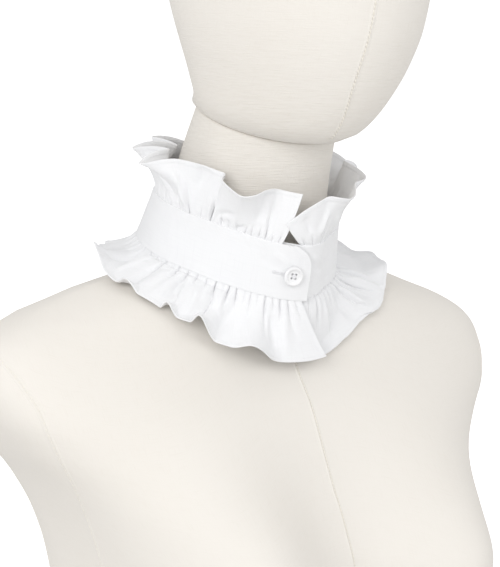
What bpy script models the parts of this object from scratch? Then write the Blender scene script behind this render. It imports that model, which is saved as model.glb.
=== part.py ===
"""Ruffled neck collar on a limbless display form.

The collar is a buttoned band with one gathered ruffle standing above it and one
hanging below it. It sits on the neck of a padded form with a smooth egg head.
Run with blender --background --python part.py. Units are metres, +Z is up.
The form faces -Y, and the wearer's left is +X.
"""
from collections import namedtuple
from math import cos, pi, radians, sin, sqrt

import bmesh
import bpy
import numpy as np
from mathutils import Matrix, Vector
from mathutils.bvhtree import BVHTree

MM = 0.001

# Driving sizes, in millimetres and degrees
NECK_HEIGHT = 340.0          # collar reference point above the base of the form
NECK_SHIFT = 23.0            # collar reference point behind the middle of the base
GAP = 0.3                    # clearance between pieces that meet

COLLAR_TILT = 24.0           # the collar dips at the throat
COLLAR_SETBACK = 3.0         # middle of the collar behind the reference point
NAPE_DROP = 20.0             # the collar sits this much lower at the nape than its level
TAB_ANGLE = 2.5              # where the buttoned end stops, round from the throat
BAND_TURN = 384.0            # how far the band runs round, overlap included
BAND_BOTTOM = -7.0           # lower seam, along the collar's own axis
BAND_TOP = 28.0              # upper seam, along the collar's own axis
BAND_THICKNESS = 2.0
BAND_COLUMNS = 76
BAND_RISES = (0.0, 0.3, 0.6, 0.78, 0.9, 0.97, 1.0)   # closer where the corner is round
TAB_CORNER = 10.0            # radius of the tab's upper corner
TAB_BLEND = 16.0             # degrees over which the corner's cut fades out

RUFFLE_THICKNESS = 1.2
RUFFLE_TURNOUT = 0.5         # how soon a ruffle turns out from its seam; less is sooner
RUFFLE_LEAN = 1.3            # how late a fold falls sideways; more is nearer the edge
GATHERS = 48                 # fine gathers along each ruffle's seam
COLUMNS_PER_GATHER = 4
GATHER_HEIGHT = 1.1
GATHER_HELD = 0.3            # share of that height where the seam holds them
GATHER_FULL = 0.14           # share of the ruffle's width where they are highest
GATHER_FADE = 0.62           # share of the ruffle's width that they reach

UPPER_WIDTH = 33.0
UPPER_START = 18.5           # turns where the upper ruffle starts and stops
UPPER_STOP = 369.0
UPPER_ROWS = 5
ROW_CROWDING = 1.15          # more than 1 puts a ruffle's rows closer at its seam
UPPER_ROOT_PITCH = 98.0
UPPER_SEAM = BAND_TOP + GAP + 0.1
UPPER_TUCK_TURN = 350.0      # the under end is turned down from here on
UPPER_TUCK = 0.42            # share of the width that is turned down at the end

LOWER_WIDTH = 42.0
LOWER_CURL_TURN = 132.0      # the edge curls under most here, beside the shoulder
LOWER_CURL_SPREAD = 42.0     # and not at all this many degrees away
LOWER_CURL = 0.18            # share of the width that is curled under
LOWER_START = 2.5
LOWER_STOP = 376.0
LOWER_ROWS = 6
LOWER_ROOT_PITCH = -76.0
LOWER_SEAM = BAND_BOTTOM - GAP - 0.65

CLOTH_CLEARANCE = 1.7        # middle of the cloth to the form's surface

BUTTON_DIAMETER = 13.0
BUTTON_THICKNESS = 2.6
BUTTON_TURN = 10.0
BUTTON_LEVEL = 0.47          # share of the band's width above the lower seam
BUTTON_HOLE = 1.7
BUTTON_HOLE_SPREAD = 3.4
BUTTON_STEPS = 28
BUTTON_HOLE_STEPS = 10
BUTTON_HOLES = 4
BUTTON_SEAT = 0.3            # share of the band's bulge that the button stands off
# The button's half outline from the middle of its face round to the middle of
# its back: share of the radius, share of the thickness
Turned = namedtuple("Turned", "across level")
BUTTON_OUTLINE = (
    Turned(0.0, 0.62), Turned(0.56, 0.62), Turned(0.66, 0.80), Turned(0.76, 1.0),
    Turned(0.88, 1.0), Turned(0.97, 0.80), Turned(1.0, 0.5), Turned(0.94, 0.2),
    Turned(0.78, 0.0), Turned(0.0, 0.0),
)

FORM_SIDES = 40
HEAD_SIDES = 28
FORM_SPACING = 14.0          # about the height between two levels of the form
FORM_SHARP_ANGLE = 50.0

# One row for each level of the form's body, from the base to the top of the neck.
# height is from the collar's reference point. Each section is an oval about its
# middle, and leans forward by tilt. power 2 is an ellipse, more is squarer.
Section = namedtuple("Section", "height middle half_width front back power tilt")
BODY_SECTIONS = (
    Section(-340, -6, 107, 74, 72, 2.4, 0),
    Section(-337, -6, 112, 79, 77, 2.4, 0),
    Section(-330, -6, 115, 82, 80, 2.4, 0),
    Section(-305, -6, 117, 87, 81, 2.5, 0),
    Section(-270, -5, 121, 99, 81, 2.7, 0),
    Section(-235, -4, 127, 110, 80, 3.0, 0),
    Section(-205, -3, 133, 113, 79, 3.2, 0),
    Section(-175, -2, 144, 104, 80, 3.2, 0),
    Section(-150, -2, 160, 93, 83, 3.1, 0),
    Section(-125, -1, 183, 84, 85, 2.9, 0),
    Section(-103, -1, 199, 74, 86, 2.8, 0),
    Section(-86, -1, 204, 62.5, 85, 2.7, 0),
    Section(-73, 0, 203, 56, 82, 2.5, 0),
    Section(-62, 2, 197, 53, 79, 2.3, 0),
    Section(-54, 4, 186, 52, 75, 2.1, 0),
    Section(-46, 6, 169, 52, 71, 2.0, 1),
    Section(-39.5, 7, 151, 53, 69, 1.75, 1),
    Section(-33.5, 7, 135, 53, 67, 1.55, 2),
    Section(-27.5, 7, 114, 52, 64, 1.32, 3),
    Section(-21.5, 6, 90, 52, 62, 1.2, 4),
    Section(-16, 5, 73, 51, 60, 1.2, 5),
    Section(-9, 3, 61.5, 51, 58, 1.5, 7),
    Section(3, 0, 57, 51.5, 57, 2.0, 10),
    Section(27, -7, 52, 51, 53, 2.0, 13),
    Section(50, -14, 49.5, 48.5, 50, 2.0, 16),
    Section(78.6, -24, 46.5, 46.5, 46.5, 2.0, 18),
)
BUST_APART = 88.0            # from the centre line to each rounded bust point
BUST_HEIGHT = -212.0
BUST_FULLNESS = 50.0
BUST_SPREAD = 56.0
BUST_RISE = 74.0
BUST_FALL = 52.0
BUST_BEGINS = 10.0           # how far back on the section the bust starts to lift
BUST_EASE = 60.0

# The head's levels, from the flat seat on the neck to the crown.
HEAD_SECTIONS = (
    Section(0, 0, 47.5, 47.5, 47.5, 2.0, 18),
    Section(3, 0, 50.5, 59, 48.5, 2.0, 17),
    Section(8, -6, 54, 66, 49.5, 2.0, 16),
    Section(16, -11, 57.5, 73, 57, 2.0, 14),
    Section(28, -16, 62, 80, 67, 2.0, 12),
    Section(46, -22, 69, 87, 79, 2.0, 9),
    Section(68, -26, 75, 93, 90, 2.0, 6),
    Section(92, -27, 78, 97, 97, 2.0, 3),
    Section(118, -28, 78.5, 98, 99, 2.0, 0),
    Section(146, -28, 77, 96, 98, 2.0, 0),
    Section(172, -27, 72, 89, 94, 2.0, 0),
    Section(197, -26, 61, 75, 83, 2.0, 0),
    Section(216, -25, 46, 56, 63, 2.0, 0),
    Section(229, -24, 27, 33, 37, 2.0, 0),
    Section(235, -24, 6, 8, 8, 2.0, 0),
)

# The band's radius at its lower seam, by turn from the buttoned end, and how much
# smaller it is at its upper seam. It comes forward at the throat, where the
# buttoned end lies over the under end.
Span = namedtuple("Span", "turn radius narrowing")
BAND_SPANS = (
    Span(0, 78, 8), Span(13, 74.8, 8), Span(24, 71, 8), Span(47, 66.5, 8),
    Span(64, 65.5, 7), Span(82, 67.5, 6), Span(96, 68, 4.5), Span(116, 66, 3),
    Span(148, 65, 3), Span(182, 62, 4), Span(215, 65, 5), Span(274, 68.5, 8),
    Span(314, 68.5, 8), Span(336, 68.5, 8), Span(350, 72.5, 8), Span(360, 74, 8),
    Span(372, 71, 8), Span(386, 66.8, 8),
)

# A row for each crest and each hollow of a ruffle's free edge. turn is where it
# leaves the seam, pitch is the slope of the cloth above the collar's own level,
# and lean is how many degrees the fold falls sideways.
Fold = namedtuple("Fold", "turn pitch lean")
UPPER_FOLDS = (
    Fold(18.5, 104, -8), Fold(24, 111, -2), Fold(49, 64, 0), Fold(58, 77, 4),
    Fold(68, 95, -2), Fold(82, 91, 0), Fold(92, 80, 2), Fold(101, 44, 3),
    Fold(111, 88, 0), Fold(122, 50, 2), Fold(134, 102, 0), Fold(147, 66, -3),
    Fold(160, 101, 0), Fold(173, 70, 5), Fold(187, 98, 0), Fold(201, 55, 6),
    Fold(216, 101, 0), Fold(231, 62, -6), Fold(248, 97, 0), Fold(266, 48, 3),
    Fold(282, 88, 0), Fold(297, 69, 0), Fold(320, 92, 0), Fold(339, 74, 0),
    Fold(354, 96, 2), Fold(369, 100, 9),
)
LOWER_FOLDS = (
    Fold(2.5, -54, -10), Fold(13, -54, 0), Fold(29, -24, 0), Fold(38, -35, 0),
    Fold(47, -8, 2), Fold(54, -20, 0), Fold(60, -6, 1), Fold(66.5, -19, 0),
    Fold(77, -3, 1), Fold(84, -14, 0), Fold(94, -2, 0), Fold(104, -24, 3),
    Fold(117, -46, 0), Fold(131, -36, 2), Fold(143, -60, 0), Fold(155, -40, 0),
    Fold(169, -64, 0), Fold(181, -42, 3), Fold(194, -66, 0), Fold(207, -40, -3),
    Fold(221, -62, 0), Fold(234, -32, -2), Fold(247, -48, 0), Fold(258, -14, 0),
    Fold(270, -22, 0), Fold(281, 0, 2), Fold(288, -9, 0), Fold(296, -1, -3),
    Fold(312, -62, 2), Fold(324, -66, 0), Fold(331, -63, 0), Fold(340, -65, 0),
    Fold(356, -68, 0), Fold(376, -71, 0),
)


def smooth(places, values, at):
    """Read a smooth curve through a table's column, with no swing past a row."""
    x = np.asarray(places, dtype=float)
    y = np.asarray(values, dtype=float)
    at = np.asarray(at, dtype=float)
    step = np.diff(x)
    slope = np.diff(y) / step
    before = slope[:-1]
    after = slope[1:]
    same_way = before * after > 0.0
    total = np.where(same_way, before + after, 1.0)
    inner = np.where(same_way, 2.0 * before * after / total, 0.0)
    tangent = np.concatenate(([slope[0]], inner, [slope[-1]]))
    i = np.clip(np.searchsorted(x, at, side="right") - 1, 0, len(x) - 2)
    t = np.clip((at - x[i]) / step[i], 0.0, 1.0)
    start = (1.0 + 2.0 * t) * (1.0 - t) ** 2 * y[i] + t ** 2 * (3.0 - 2.0 * t) * y[i + 1]
    bend = t * (1.0 - t) ** 2 * tangent[i] - t ** 2 * (1.0 - t) * tangent[i + 1]
    return start + bend * step[i]


def column(rows, name):
    """One named column of a table."""
    return [getattr(row, name) for row in rows]


def in_frame(x, y, z):
    """A point measured from the collar's reference point, as a place in metres."""
    return Vector((x, y + NECK_SHIFT, z + NECK_HEIGHT)) * MM


def collar_point(angle, radius, height):
    """A point in the collar's own tilted round frame; angle 0 is the throat."""
    tilt = radians(COLLAR_TILT)
    height -= NAPE_DROP * ((1.0 - cos(radians(angle))) / 2.0) ** 2.5
    ahead = radius * cos(radians(angle))
    side = radius * sin(radians(angle))
    back = COLLAR_SETBACK - ahead * cos(tilt) - height * sin(tilt)
    up = height * cos(tilt) - ahead * sin(tilt)
    return in_frame(side, back, up)


def section_ring(section, sides):
    """The points of one oval section of the form, from the front round by +X."""
    ring = []
    for k in range(sides):
        turn = 2.0 * pi * k / sides
        across = abs(sin(turn)) ** (2.0 / section.power) * (1.0 if sin(turn) >= 0 else -1.0)
        along = abs(cos(turn)) ** (2.0 / section.power) * (1.0 if cos(turn) >= 0 else -1.0)
        ahead = along * (section.front if along > 0 else section.back)
        tilt = radians(section.tilt)
        ring.append((
            across * section.half_width,
            section.middle - ahead * cos(tilt),
            section.height - ahead * sin(tilt),
        ))
    return ring


def sections_between(rows, spacing):
    """The table's sections, with more added where its rows are far apart."""
    heights = column(rows, "height")
    finer = []
    for low, high in zip(heights[:-1], heights[1:]):
        steps = max(1, round((high - low) / spacing))
        finer += [low + (high - low) * k / steps for k in range(steps)]
    finer.append(heights[-1])
    names = Section._fields[1:]
    columns = [smooth(heights, column(rows, name), finer) for name in names]
    return [Section(height, *values) for height, *values in zip(finer, *columns)]


def bust(point):
    """Move a point of the body's front out over the rounded bust."""
    x, y, z = point
    reach = BUST_RISE if z > BUST_HEIGHT else BUST_FALL
    level = np.exp(-((z - BUST_HEIGHT) / reach) ** 2)
    sides = sum(np.exp(-((x - side) / BUST_SPREAD) ** 2) for side in (-BUST_APART, BUST_APART))
    facing = min(max((BUST_BEGINS - y) / BUST_EASE, 0.0), 1.0)
    facing = facing * facing * (3.0 - 2.0 * facing)
    return x, y - BUST_FULLNESS * level * sides * facing, z


def new_object(name, mesh, collection, material):
    """Put a mesh in the collection as a named, smooth object."""
    thing = bpy.data.objects.new(name, mesh)
    collection.objects.link(thing)
    mesh.materials.append(material)
    mesh.shade_smooth()
    return thing


def loft(name, rings, collection, material):
    """A closed solid through rings of places, with a flat face at each end."""
    shape = bmesh.new()
    levels = [[shape.verts.new(place) for place in ring] for ring in rings]
    sides = len(levels[0])
    for low, high in zip(levels[:-1], levels[1:]):
        for k in range(sides):
            after = (k + 1) % sides
            shape.faces.new((low[k], low[after], high[after], high[k]))
    shape.faces.new(levels[0][::-1])
    shape.faces.new(levels[-1])
    bmesh.ops.recalc_face_normals(shape, faces=shape.faces)
    mesh = bpy.data.meshes.new(name)
    shape.to_mesh(mesh)
    shape.free()
    thing = new_object(name, mesh, collection, material)
    mesh.set_sharp_from_angle(angle=radians(FORM_SHARP_ANGLE))
    return thing


def cloth_strip(name, grid, thickness, collection, material):
    """A wall of cloth from the grid of places along its middle."""
    shape = bmesh.new()
    lines = [[shape.verts.new(place) for place in line] for line in grid]
    for near, far in zip(lines[:-1], lines[1:]):
        for k in range(len(near) - 1):
            shape.faces.new((near[k], near[k + 1], far[k + 1], far[k]))
    mesh = bpy.data.meshes.new(name)
    shape.to_mesh(mesh)
    shape.free()
    thing = new_object(name, mesh, collection, material)
    wall = thing.modifiers.new("wall", "SOLIDIFY")
    wall.thickness = thickness * MM
    wall.offset = 0.0
    return thing


def make_material(name, colour, roughness, coat=0.0):
    """A plain Principled material for one sub-part."""
    material = bpy.data.materials.new(name)
    material.use_nodes = True
    shader = material.node_tree.nodes["Principled BSDF"]
    shader.inputs["Base Color"].default_value = (*colour, 1.0)
    shader.inputs["Roughness"].default_value = roughness
    shader.inputs["Metallic"].default_value = 0.0
    shader.inputs["Coat Weight"].default_value = coat
    return material


def band_radius(turn, height):
    """The band's radius at a turn and at a height on the collar's axis."""
    rise = (height - BAND_BOTTOM) / (BAND_TOP - BAND_BOTTOM)
    turns = column(BAND_SPANS, "turn")
    base = float(smooth(turns, column(BAND_SPANS, "radius"), turn))
    return base - float(smooth(turns, column(BAND_SPANS, "narrowing"), turn)) * rise


def band_point(turn, rise):
    """A place on the middle of the band; rise is 0 at its lower seam, 1 at its top."""
    height = BAND_BOTTOM + (BAND_TOP - BAND_BOTTOM) * rise
    return collar_point(TAB_ANGLE - turn, band_radius(turn, height), height)


def tab_cut(rise):
    """Degrees taken off the buttoned end where its upper corner is rounded."""
    width = BAND_TOP - BAND_BOTTOM
    over = max(0.0, rise * width - (width - TAB_CORNER))
    cut = TAB_CORNER - sqrt(TAB_CORNER ** 2 - over ** 2)
    return np.degrees(cut / band_radius(0.0, BAND_TOP))


def band_grid():
    """The band's middle as a grid, with the round corner cut into its first end."""
    grid = []
    for rise in BAND_RISES:
        line = []
        for k in range(BAND_COLUMNS + 1):
            turn = BAND_TURN * k / BAND_COLUMNS
            fade = max(0.0, 1.0 - turn / TAB_BLEND)
            line.append(band_point(turn + tab_cut(rise) * fade, rise))
        grid.append(line)
    return grid


def unevenness(turn):
    """A slow change between 0.55 and 1 that keeps the gathers from looking even."""
    wave = sin(radians(turn * 3.1)) + 0.6 * sin(radians(turn * 7.3 + 40.0))
    return 0.775 + 0.14 * wave


def standing_width(turn):
    """The upper ruffle's width that shows; its under end is turned down inside."""
    tucked = max(0.0, (turn - UPPER_TUCK_TURN) / (UPPER_STOP - UPPER_TUCK_TURN))
    return UPPER_WIDTH * (1.0 - UPPER_TUCK * tucked * tucked * (3.0 - 2.0 * tucked))


def hanging_width(turn):
    """The lower ruffle's width that shows; its edge curls under beside the shoulder."""
    away = (turn - LOWER_CURL_TURN) / LOWER_CURL_SPREAD
    return LOWER_WIDTH * (1.0 - LOWER_CURL * max(0.0, 1.0 - away * away))


def ruffle_point(folds, turn, share, width, seam, root_pitch, gather):
    """A place on a ruffle: share is 0 at the seam and 1 at the free edge."""
    pitch = float(smooth(column(folds, "turn"), column(folds, "pitch"), turn))
    lean = float(smooth(column(folds, "turn"), column(folds, "lean"), turn))
    slope = radians(root_pitch + (pitch - root_pitch) * share ** RUFFLE_TURNOUT)
    out = width * share * cos(slope)
    up = width * share * sin(slope)
    fade = max(0.0, 1.0 - share / GATHER_FADE)
    swell = GATHER_HELD + (1.0 - GATHER_HELD) * min(1.0, share / GATHER_FULL)
    lift = GATHER_HEIGHT * swell * fade * unevenness(turn) * cos(gather)
    out += lift * abs(sin(slope))
    up += lift * cos(slope) * (1.0 if root_pitch < 0 else -1.0)
    radius = band_radius(turn, seam) + out
    return collar_point(TAB_ANGLE - turn - lean * share ** RUFFLE_LEAN, radius, seam + up)


def ruffle_grid(folds, start, stop, rows, width_at, seam, root_pitch):
    """The middle of a whole ruffle, as lines from its seam to its free edge."""
    columns = GATHERS * COLUMNS_PER_GATHER
    grid = []
    for row in range(rows + 1):
        share = (row / rows) ** ROW_CROWDING
        line = []
        for k in range(columns + 1):
            turn = start + (stop - start) * k / columns
            gather = 2.0 * pi * k / COLUMNS_PER_GATHER
            width = width_at(turn)
            line.append(ruffle_point(folds, turn, share, width, seam, root_pitch, gather))
        grid.append(line)
    return grid


def keep_clear(grid, form_tree, clearance):
    """Move places of the cloth out to the least clearance from the form."""
    for line in grid:
        for k, place in enumerate(line):
            nearest, normal, _, _ = form_tree.find_nearest(place)
            depth = (place - nearest).dot(normal)
            if depth < clearance * MM:
                line[k] = place + normal * (clearance * MM - depth)
    return grid


def surface_tree(thing):
    """A search tree over an object's surface."""
    shape = bmesh.new()
    shape.from_mesh(thing.data)
    tree = BVHTree.FromBMesh(shape)
    shape.free()
    return tree


def make_torso(collection, material):
    """The padded body and neck, flat below and cut flat under the head."""
    rings = []
    for section in sections_between(BODY_SECTIONS, FORM_SPACING):
        rings.append([in_frame(*bust(point)) for point in section_ring(section, FORM_SIDES)])
    return loft("form_torso", rings, collection, material)


def make_head(collection, material):
    """The smooth egg head, seated a hair above the neck's slanted end."""
    neck = BODY_SECTIONS[-1]
    tilt = radians(neck.tilt)
    seat_middle = neck.middle - GAP * sin(tilt)
    seat_height = neck.height + GAP * cos(tilt)
    rings = []
    for section in sections_between(HEAD_SECTIONS, FORM_SPACING):
        ring = section_ring(section, HEAD_SIDES)
        rings.append([in_frame(x, y + seat_middle, z + seat_height) for x, y, z in ring])
    return loft("form_head", rings, collection, material)


def button_blank(collection, material):
    """The turned button without its holes, facing +Z, its back at the origin."""
    radius = BUTTON_DIAMETER / 2.0 * MM
    thickness = BUTTON_THICKNESS * MM
    shape = bmesh.new()
    points = [shape.verts.new((row.across * radius, 0.0, row.level * thickness))
              for row in BUTTON_OUTLINE]
    for first, second in zip(points[:-1], points[1:]):
        shape.edges.new((first, second))
    mesh = bpy.data.meshes.new("button")
    shape.to_mesh(mesh)
    shape.free()
    button = new_object("button", mesh, collection, material)
    turned = button.modifiers.new("turned", "SCREW")
    turned.steps = BUTTON_STEPS
    turned.render_steps = BUTTON_STEPS
    turned.use_merge_vertices = True
    turned.merge_threshold = 0.00001
    return button


def button_place():
    """Where the button lies on the band, with its face turned outwards."""
    here = band_point(BUTTON_TURN, BUTTON_LEVEL)
    before = band_point(BUTTON_TURN - 1.0, BUTTON_LEVEL)
    after = band_point(BUTTON_TURN + 1.0, BUTTON_LEVEL)
    along = (before - after).normalized()
    upward = (band_point(BUTTON_TURN, BUTTON_LEVEL + 0.1) - here).normalized()
    outward = along.cross(upward).normalized()
    upward = outward.cross(along)
    bulge = (BUTTON_DIAMETER / 2.0) ** 2 / (2.0 * band_radius(BUTTON_TURN, BAND_BOTTOM))
    place = Matrix((along, upward, outward)).transposed().to_4x4()
    stand = BAND_THICKNESS / 2.0 + GAP + BUTTON_SEAT * bulge
    place.translation = here + outward * stand * MM
    return place


def make_button(collection, cutters, material):
    """A four-hole button with a raised rim, lying on the buttoned end."""
    button = button_blank(collection, material)
    place = button_place()
    button.matrix_world = place
    for k in range(BUTTON_HOLES):
        angle = 2.0 * pi * (k + 0.5) / BUTTON_HOLES
        bpy.ops.mesh.primitive_cylinder_add(
            vertices=BUTTON_HOLE_STEPS, radius=BUTTON_HOLE / 2.0 * MM,
            depth=4.0 * BUTTON_THICKNESS * MM)
        cutter = bpy.context.object
        cutter.name = f"button_hole_cutter_{k}"
        for holder in list(cutter.users_collection):
            holder.objects.unlink(cutter)
        cutters.objects.link(cutter)
        offset = Vector((cos(angle), sin(angle), 0.0)) * BUTTON_HOLE_SPREAD / 2.0 * MM
        cutter.matrix_world = place @ Matrix.Translation(offset)
        cutter.hide_render = True
        cutter.display_type = "WIRE"
        hole = button.modifiers.new(f"hole_{k}", "BOOLEAN")
        hole.operation = "DIFFERENCE"
        hole.solver = "EXACT"
        hole.object = cutter
    return button


def main():
    """Clear the scene and build the collar and its form."""
    for thing in list(bpy.data.objects):
        bpy.data.objects.remove(thing, do_unlink=True)
    collection = bpy.data.collections.new("ruffled_collar_on_form")
    cutters = bpy.data.collections.new("cutters")
    bpy.context.scene.collection.children.link(collection)
    bpy.context.scene.collection.children.link(cutters)

    cotton = make_material("cotton", (0.90, 0.90, 0.91), 0.85)
    canvas = make_material("canvas", (0.80, 0.75, 0.67), 0.9)
    resin = make_material("button_resin", (0.92, 0.92, 0.91), 0.25, coat=0.3)

    torso = make_torso(collection, canvas)
    make_head(collection, canvas)
    form_tree = surface_tree(torso)

    band = keep_clear(band_grid(), form_tree, CLOTH_CLEARANCE)
    cloth_strip("band", band, BAND_THICKNESS, collection, cotton)

    upper = ruffle_grid(UPPER_FOLDS, UPPER_START, UPPER_STOP, UPPER_ROWS, standing_width,
                        UPPER_SEAM, UPPER_ROOT_PITCH)
    keep_clear(upper, form_tree, CLOTH_CLEARANCE)
    cloth_strip("ruffle_top", upper, RUFFLE_THICKNESS, collection, cotton)

    lower = ruffle_grid(LOWER_FOLDS, LOWER_START, LOWER_STOP, LOWER_ROWS, hanging_width,
                        LOWER_SEAM, LOWER_ROOT_PITCH)
    keep_clear(lower, form_tree, CLOTH_CLEARANCE)
    cloth_strip("ruffle_bottom", lower, RUFFLE_THICKNESS, collection, cotton)

    make_button(collection, cutters, resin)


if __name__ == "__main__":
    main()
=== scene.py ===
"""Looks of the ruffled neck collar and of the display form that wears it.

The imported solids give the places. This script builds the finished cloth, form, button,
seams and stitches over them, with their materials, and a plain studio with the camera
at the photograph's angle. Sizes are in millimetres and degrees unless a name says else.
"""
import logging
from dataclasses import dataclass
from enum import Enum
from math import cos, pi, radians, sin
from typing import NamedTuple, Sequence

import bmesh
import bpy
import numpy as np
from mathutils import Matrix, Vector
from mathutils.bvhtree import BVHTree


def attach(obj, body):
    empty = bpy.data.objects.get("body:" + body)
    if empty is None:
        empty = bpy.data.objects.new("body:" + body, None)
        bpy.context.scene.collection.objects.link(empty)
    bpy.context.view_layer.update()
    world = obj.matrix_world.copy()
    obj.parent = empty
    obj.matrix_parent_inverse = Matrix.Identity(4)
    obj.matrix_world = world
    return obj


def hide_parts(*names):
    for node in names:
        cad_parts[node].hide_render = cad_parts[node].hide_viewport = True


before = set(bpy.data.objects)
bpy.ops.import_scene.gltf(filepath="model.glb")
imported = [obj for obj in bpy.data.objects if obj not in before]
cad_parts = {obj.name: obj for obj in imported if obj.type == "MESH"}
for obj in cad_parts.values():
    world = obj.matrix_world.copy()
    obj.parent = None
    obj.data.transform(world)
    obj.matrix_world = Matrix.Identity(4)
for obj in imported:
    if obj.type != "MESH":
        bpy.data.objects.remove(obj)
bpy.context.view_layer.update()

MM = 0.001
ROOT = "root"
FRAME_WIDTH_PX = 500
FRAME_HEIGHT_PX = 567
CLOTH_UV = "cloth"
WHITE = (1.0, 1.0, 1.0, 1.0)

# Sampling of the cloth and of directions along a line
FINE_TURNS = 4000            # steps in which a ruffle's columns are spaced
FINE_HIDDEN_TURNS = 1500     # steps in which the hidden gathers are spaced
DIRECTION_STEP = 0.3         # share of a stitch's pitch over which its direction is read
CREASE_END_FADE = 0.75       # how much of a crease's depth is lost at its two ends
CREASE_FADE_POWER = 3

# Closer rows and columns that round the edges, as distances from the edge
RUFFLE_END_INSETS = (0.1, 0.26, 0.5)
HEM_INSETS = (2.75, 2.3, 1.7, 1.0, 0.45, 0.22, 0.08, 0.0)
BAND_END_INSETS = (0.08, 0.22, 0.45, 0.8)
BAND_EDGE_INSETS = (0.0, 0.07, 0.22, 0.45, 0.8, 1.3)
RIM_ANGLES = (0.0, 30.0, 60.0, 90.0)

# Periods in degrees of the small uneven waves, none a multiple of another
WOBBLE_PERIODS = (31.0, 19.0, 11.5, 7.3)
PUCKER_PERIODS = (5.3, 7.9, 12.7)

log = logging.getLogger("ruffled_collar")


class Section(NamedTuple):
    """One level of the form: an oval about its middle, leaning forward by tilt."""

    height: float
    middle: float
    half_width: float
    front: float
    back: float
    power: float
    tilt: float


class Span(NamedTuple):
    """The band's lower radius at a turn, and how much smaller its upper seam is."""

    turn: float
    radius: float
    narrowing: float


class Fold(NamedTuple):
    """A crest or a hollow of a ruffle's free edge."""

    turn: float
    pitch: float
    lean: float


class Gathering(NamedTuple):
    """How far apart the gathers of the hidden part are at a turn, how deep, and how far they reach."""

    turn: float
    spacing: float
    depth: float
    reach: float


class Gather(NamedTuple):
    """A valley that starts at the seam: its reach is a share of the width, its drift in degrees."""

    turn: float
    reach: float
    depth: float
    drift: float


class Reach(NamedTuple):
    """How much of a ruffle's width shows at a turn, where it is turned down or curls under."""

    turn: float
    share: float


class Puff(NamedTuple):
    """How far a ruffle swells out between its seam and its edge at a turn."""

    turn: float
    swell: float


class Crease(NamedTuple):
    """A soft ridge, or a trough where depth is below 0, between two places of a cloth.

    A place is a turn and a share of the cloth's width.
    """

    turn: float
    share: float
    to_turn: float
    to_share: float
    depth: float
    width: float


class Guide(NamedTuple):
    """A place that a seam of the form passes, from the collar's reference point."""

    side: float
    depth: float
    height: float


class Outward(Enum):
    """Which way a grid's own normal has to be turned to face away from the neck."""

    SAME = 1.0
    OPPOSITE = -1.0


class SeamStyle(Enum):
    """How a seam of the form is sewn."""

    RAISED = "one raised cord beside a groove"
    ROPE = "slanted stitches over a groove"
    PRICKED = "tiny stitches in a shallow groove"


class SeamStitch(NamedTuple):
    """How a seam's stitches are laid on it."""

    pitch: float
    length: float
    radius: float
    lift: float
    slant: float


class Lamp(NamedTuple):
    """A soft light: its way from the collar, distance and side in metres, watts."""

    name: str
    backward: float
    right: float
    up: float
    away: float
    size: float
    power: float


SEAM_STITCHES = {
    SeamStyle.ROPE: SeamStitch(pitch=3.0, length=3.7, radius=0.42, lift=0.3, slant=24.0),
    SeamStyle.RAISED: SeamStitch(pitch=2.3, length=2.75, radius=0.4, lift=0.32, slant=4.0),
    SeamStyle.PRICKED: SeamStitch(pitch=4.2, length=1.6, radius=0.26, lift=0.12, slant=0.0),
}

LAMPS = (
    Lamp("soft_key", backward=1.0, right=-0.42, up=0.24, away=2.2, size=1.2, power=18.0),
    Lamp("soft_side", backward=0.7, right=0.95, up=0.4, away=2.0, size=1.3, power=7.5),
)

HEM_STITCH_LENGTH = 2.1
HEM_STITCH_RADIUS = 0.14
STRAND_OVERLAP = 1.0         # how much longer a button's strand is than its holes' circle


BODY_SECTIONS = (
    Section(-340, -6, 107, 74, 72, 2.4, 0),
    Section(-337, -6, 112, 79, 77, 2.4, 0),
    Section(-330, -6, 115, 82, 80, 2.4, 0),
    Section(-305, -6, 117, 87, 81, 2.5, 0),
    Section(-270, -5, 121, 99, 81, 2.7, 0),
    Section(-235, -4, 127, 110, 80, 3.0, 0),
    Section(-205, -3, 133, 113, 79, 3.2, 0),
    Section(-175, -2, 144, 104, 80, 3.2, 0),
    Section(-150, -2, 160, 93, 83, 3.1, 0),
    Section(-125, -1, 183, 84, 85, 2.9, 0),
    Section(-103, -1, 199, 74, 86, 2.8, 0),
    Section(-86, -1, 204, 62.5, 85, 2.7, 0),
    Section(-73, 0, 203, 56, 82, 2.5, 0),
    Section(-62, 2, 197, 53, 79, 2.3, 0),
    Section(-54, 4, 186, 52, 75, 2.1, 0),
    Section(-46, 6, 169, 52, 71, 2.0, 1),
    Section(-39.5, 7, 151, 53, 69, 1.75, 1),
    Section(-33.5, 7, 135, 53, 67, 1.55, 2),
    Section(-27.5, 7, 114, 52, 64, 1.32, 3),
    Section(-21.5, 6, 90, 52, 62, 1.2, 4),
    Section(-16, 5, 73, 51, 60, 1.2, 5),
    Section(-9, 3, 61.5, 51, 58, 1.5, 7),
    Section(3, 0, 57, 51.5, 57, 2.0, 10),
    Section(27, -7, 52, 51, 53, 2.0, 13),
    Section(50, -14, 49.5, 48.5, 50, 2.0, 16),
    Section(78.6, -24, 46.5, 46.5, 46.5, 2.0, 18),
)

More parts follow.
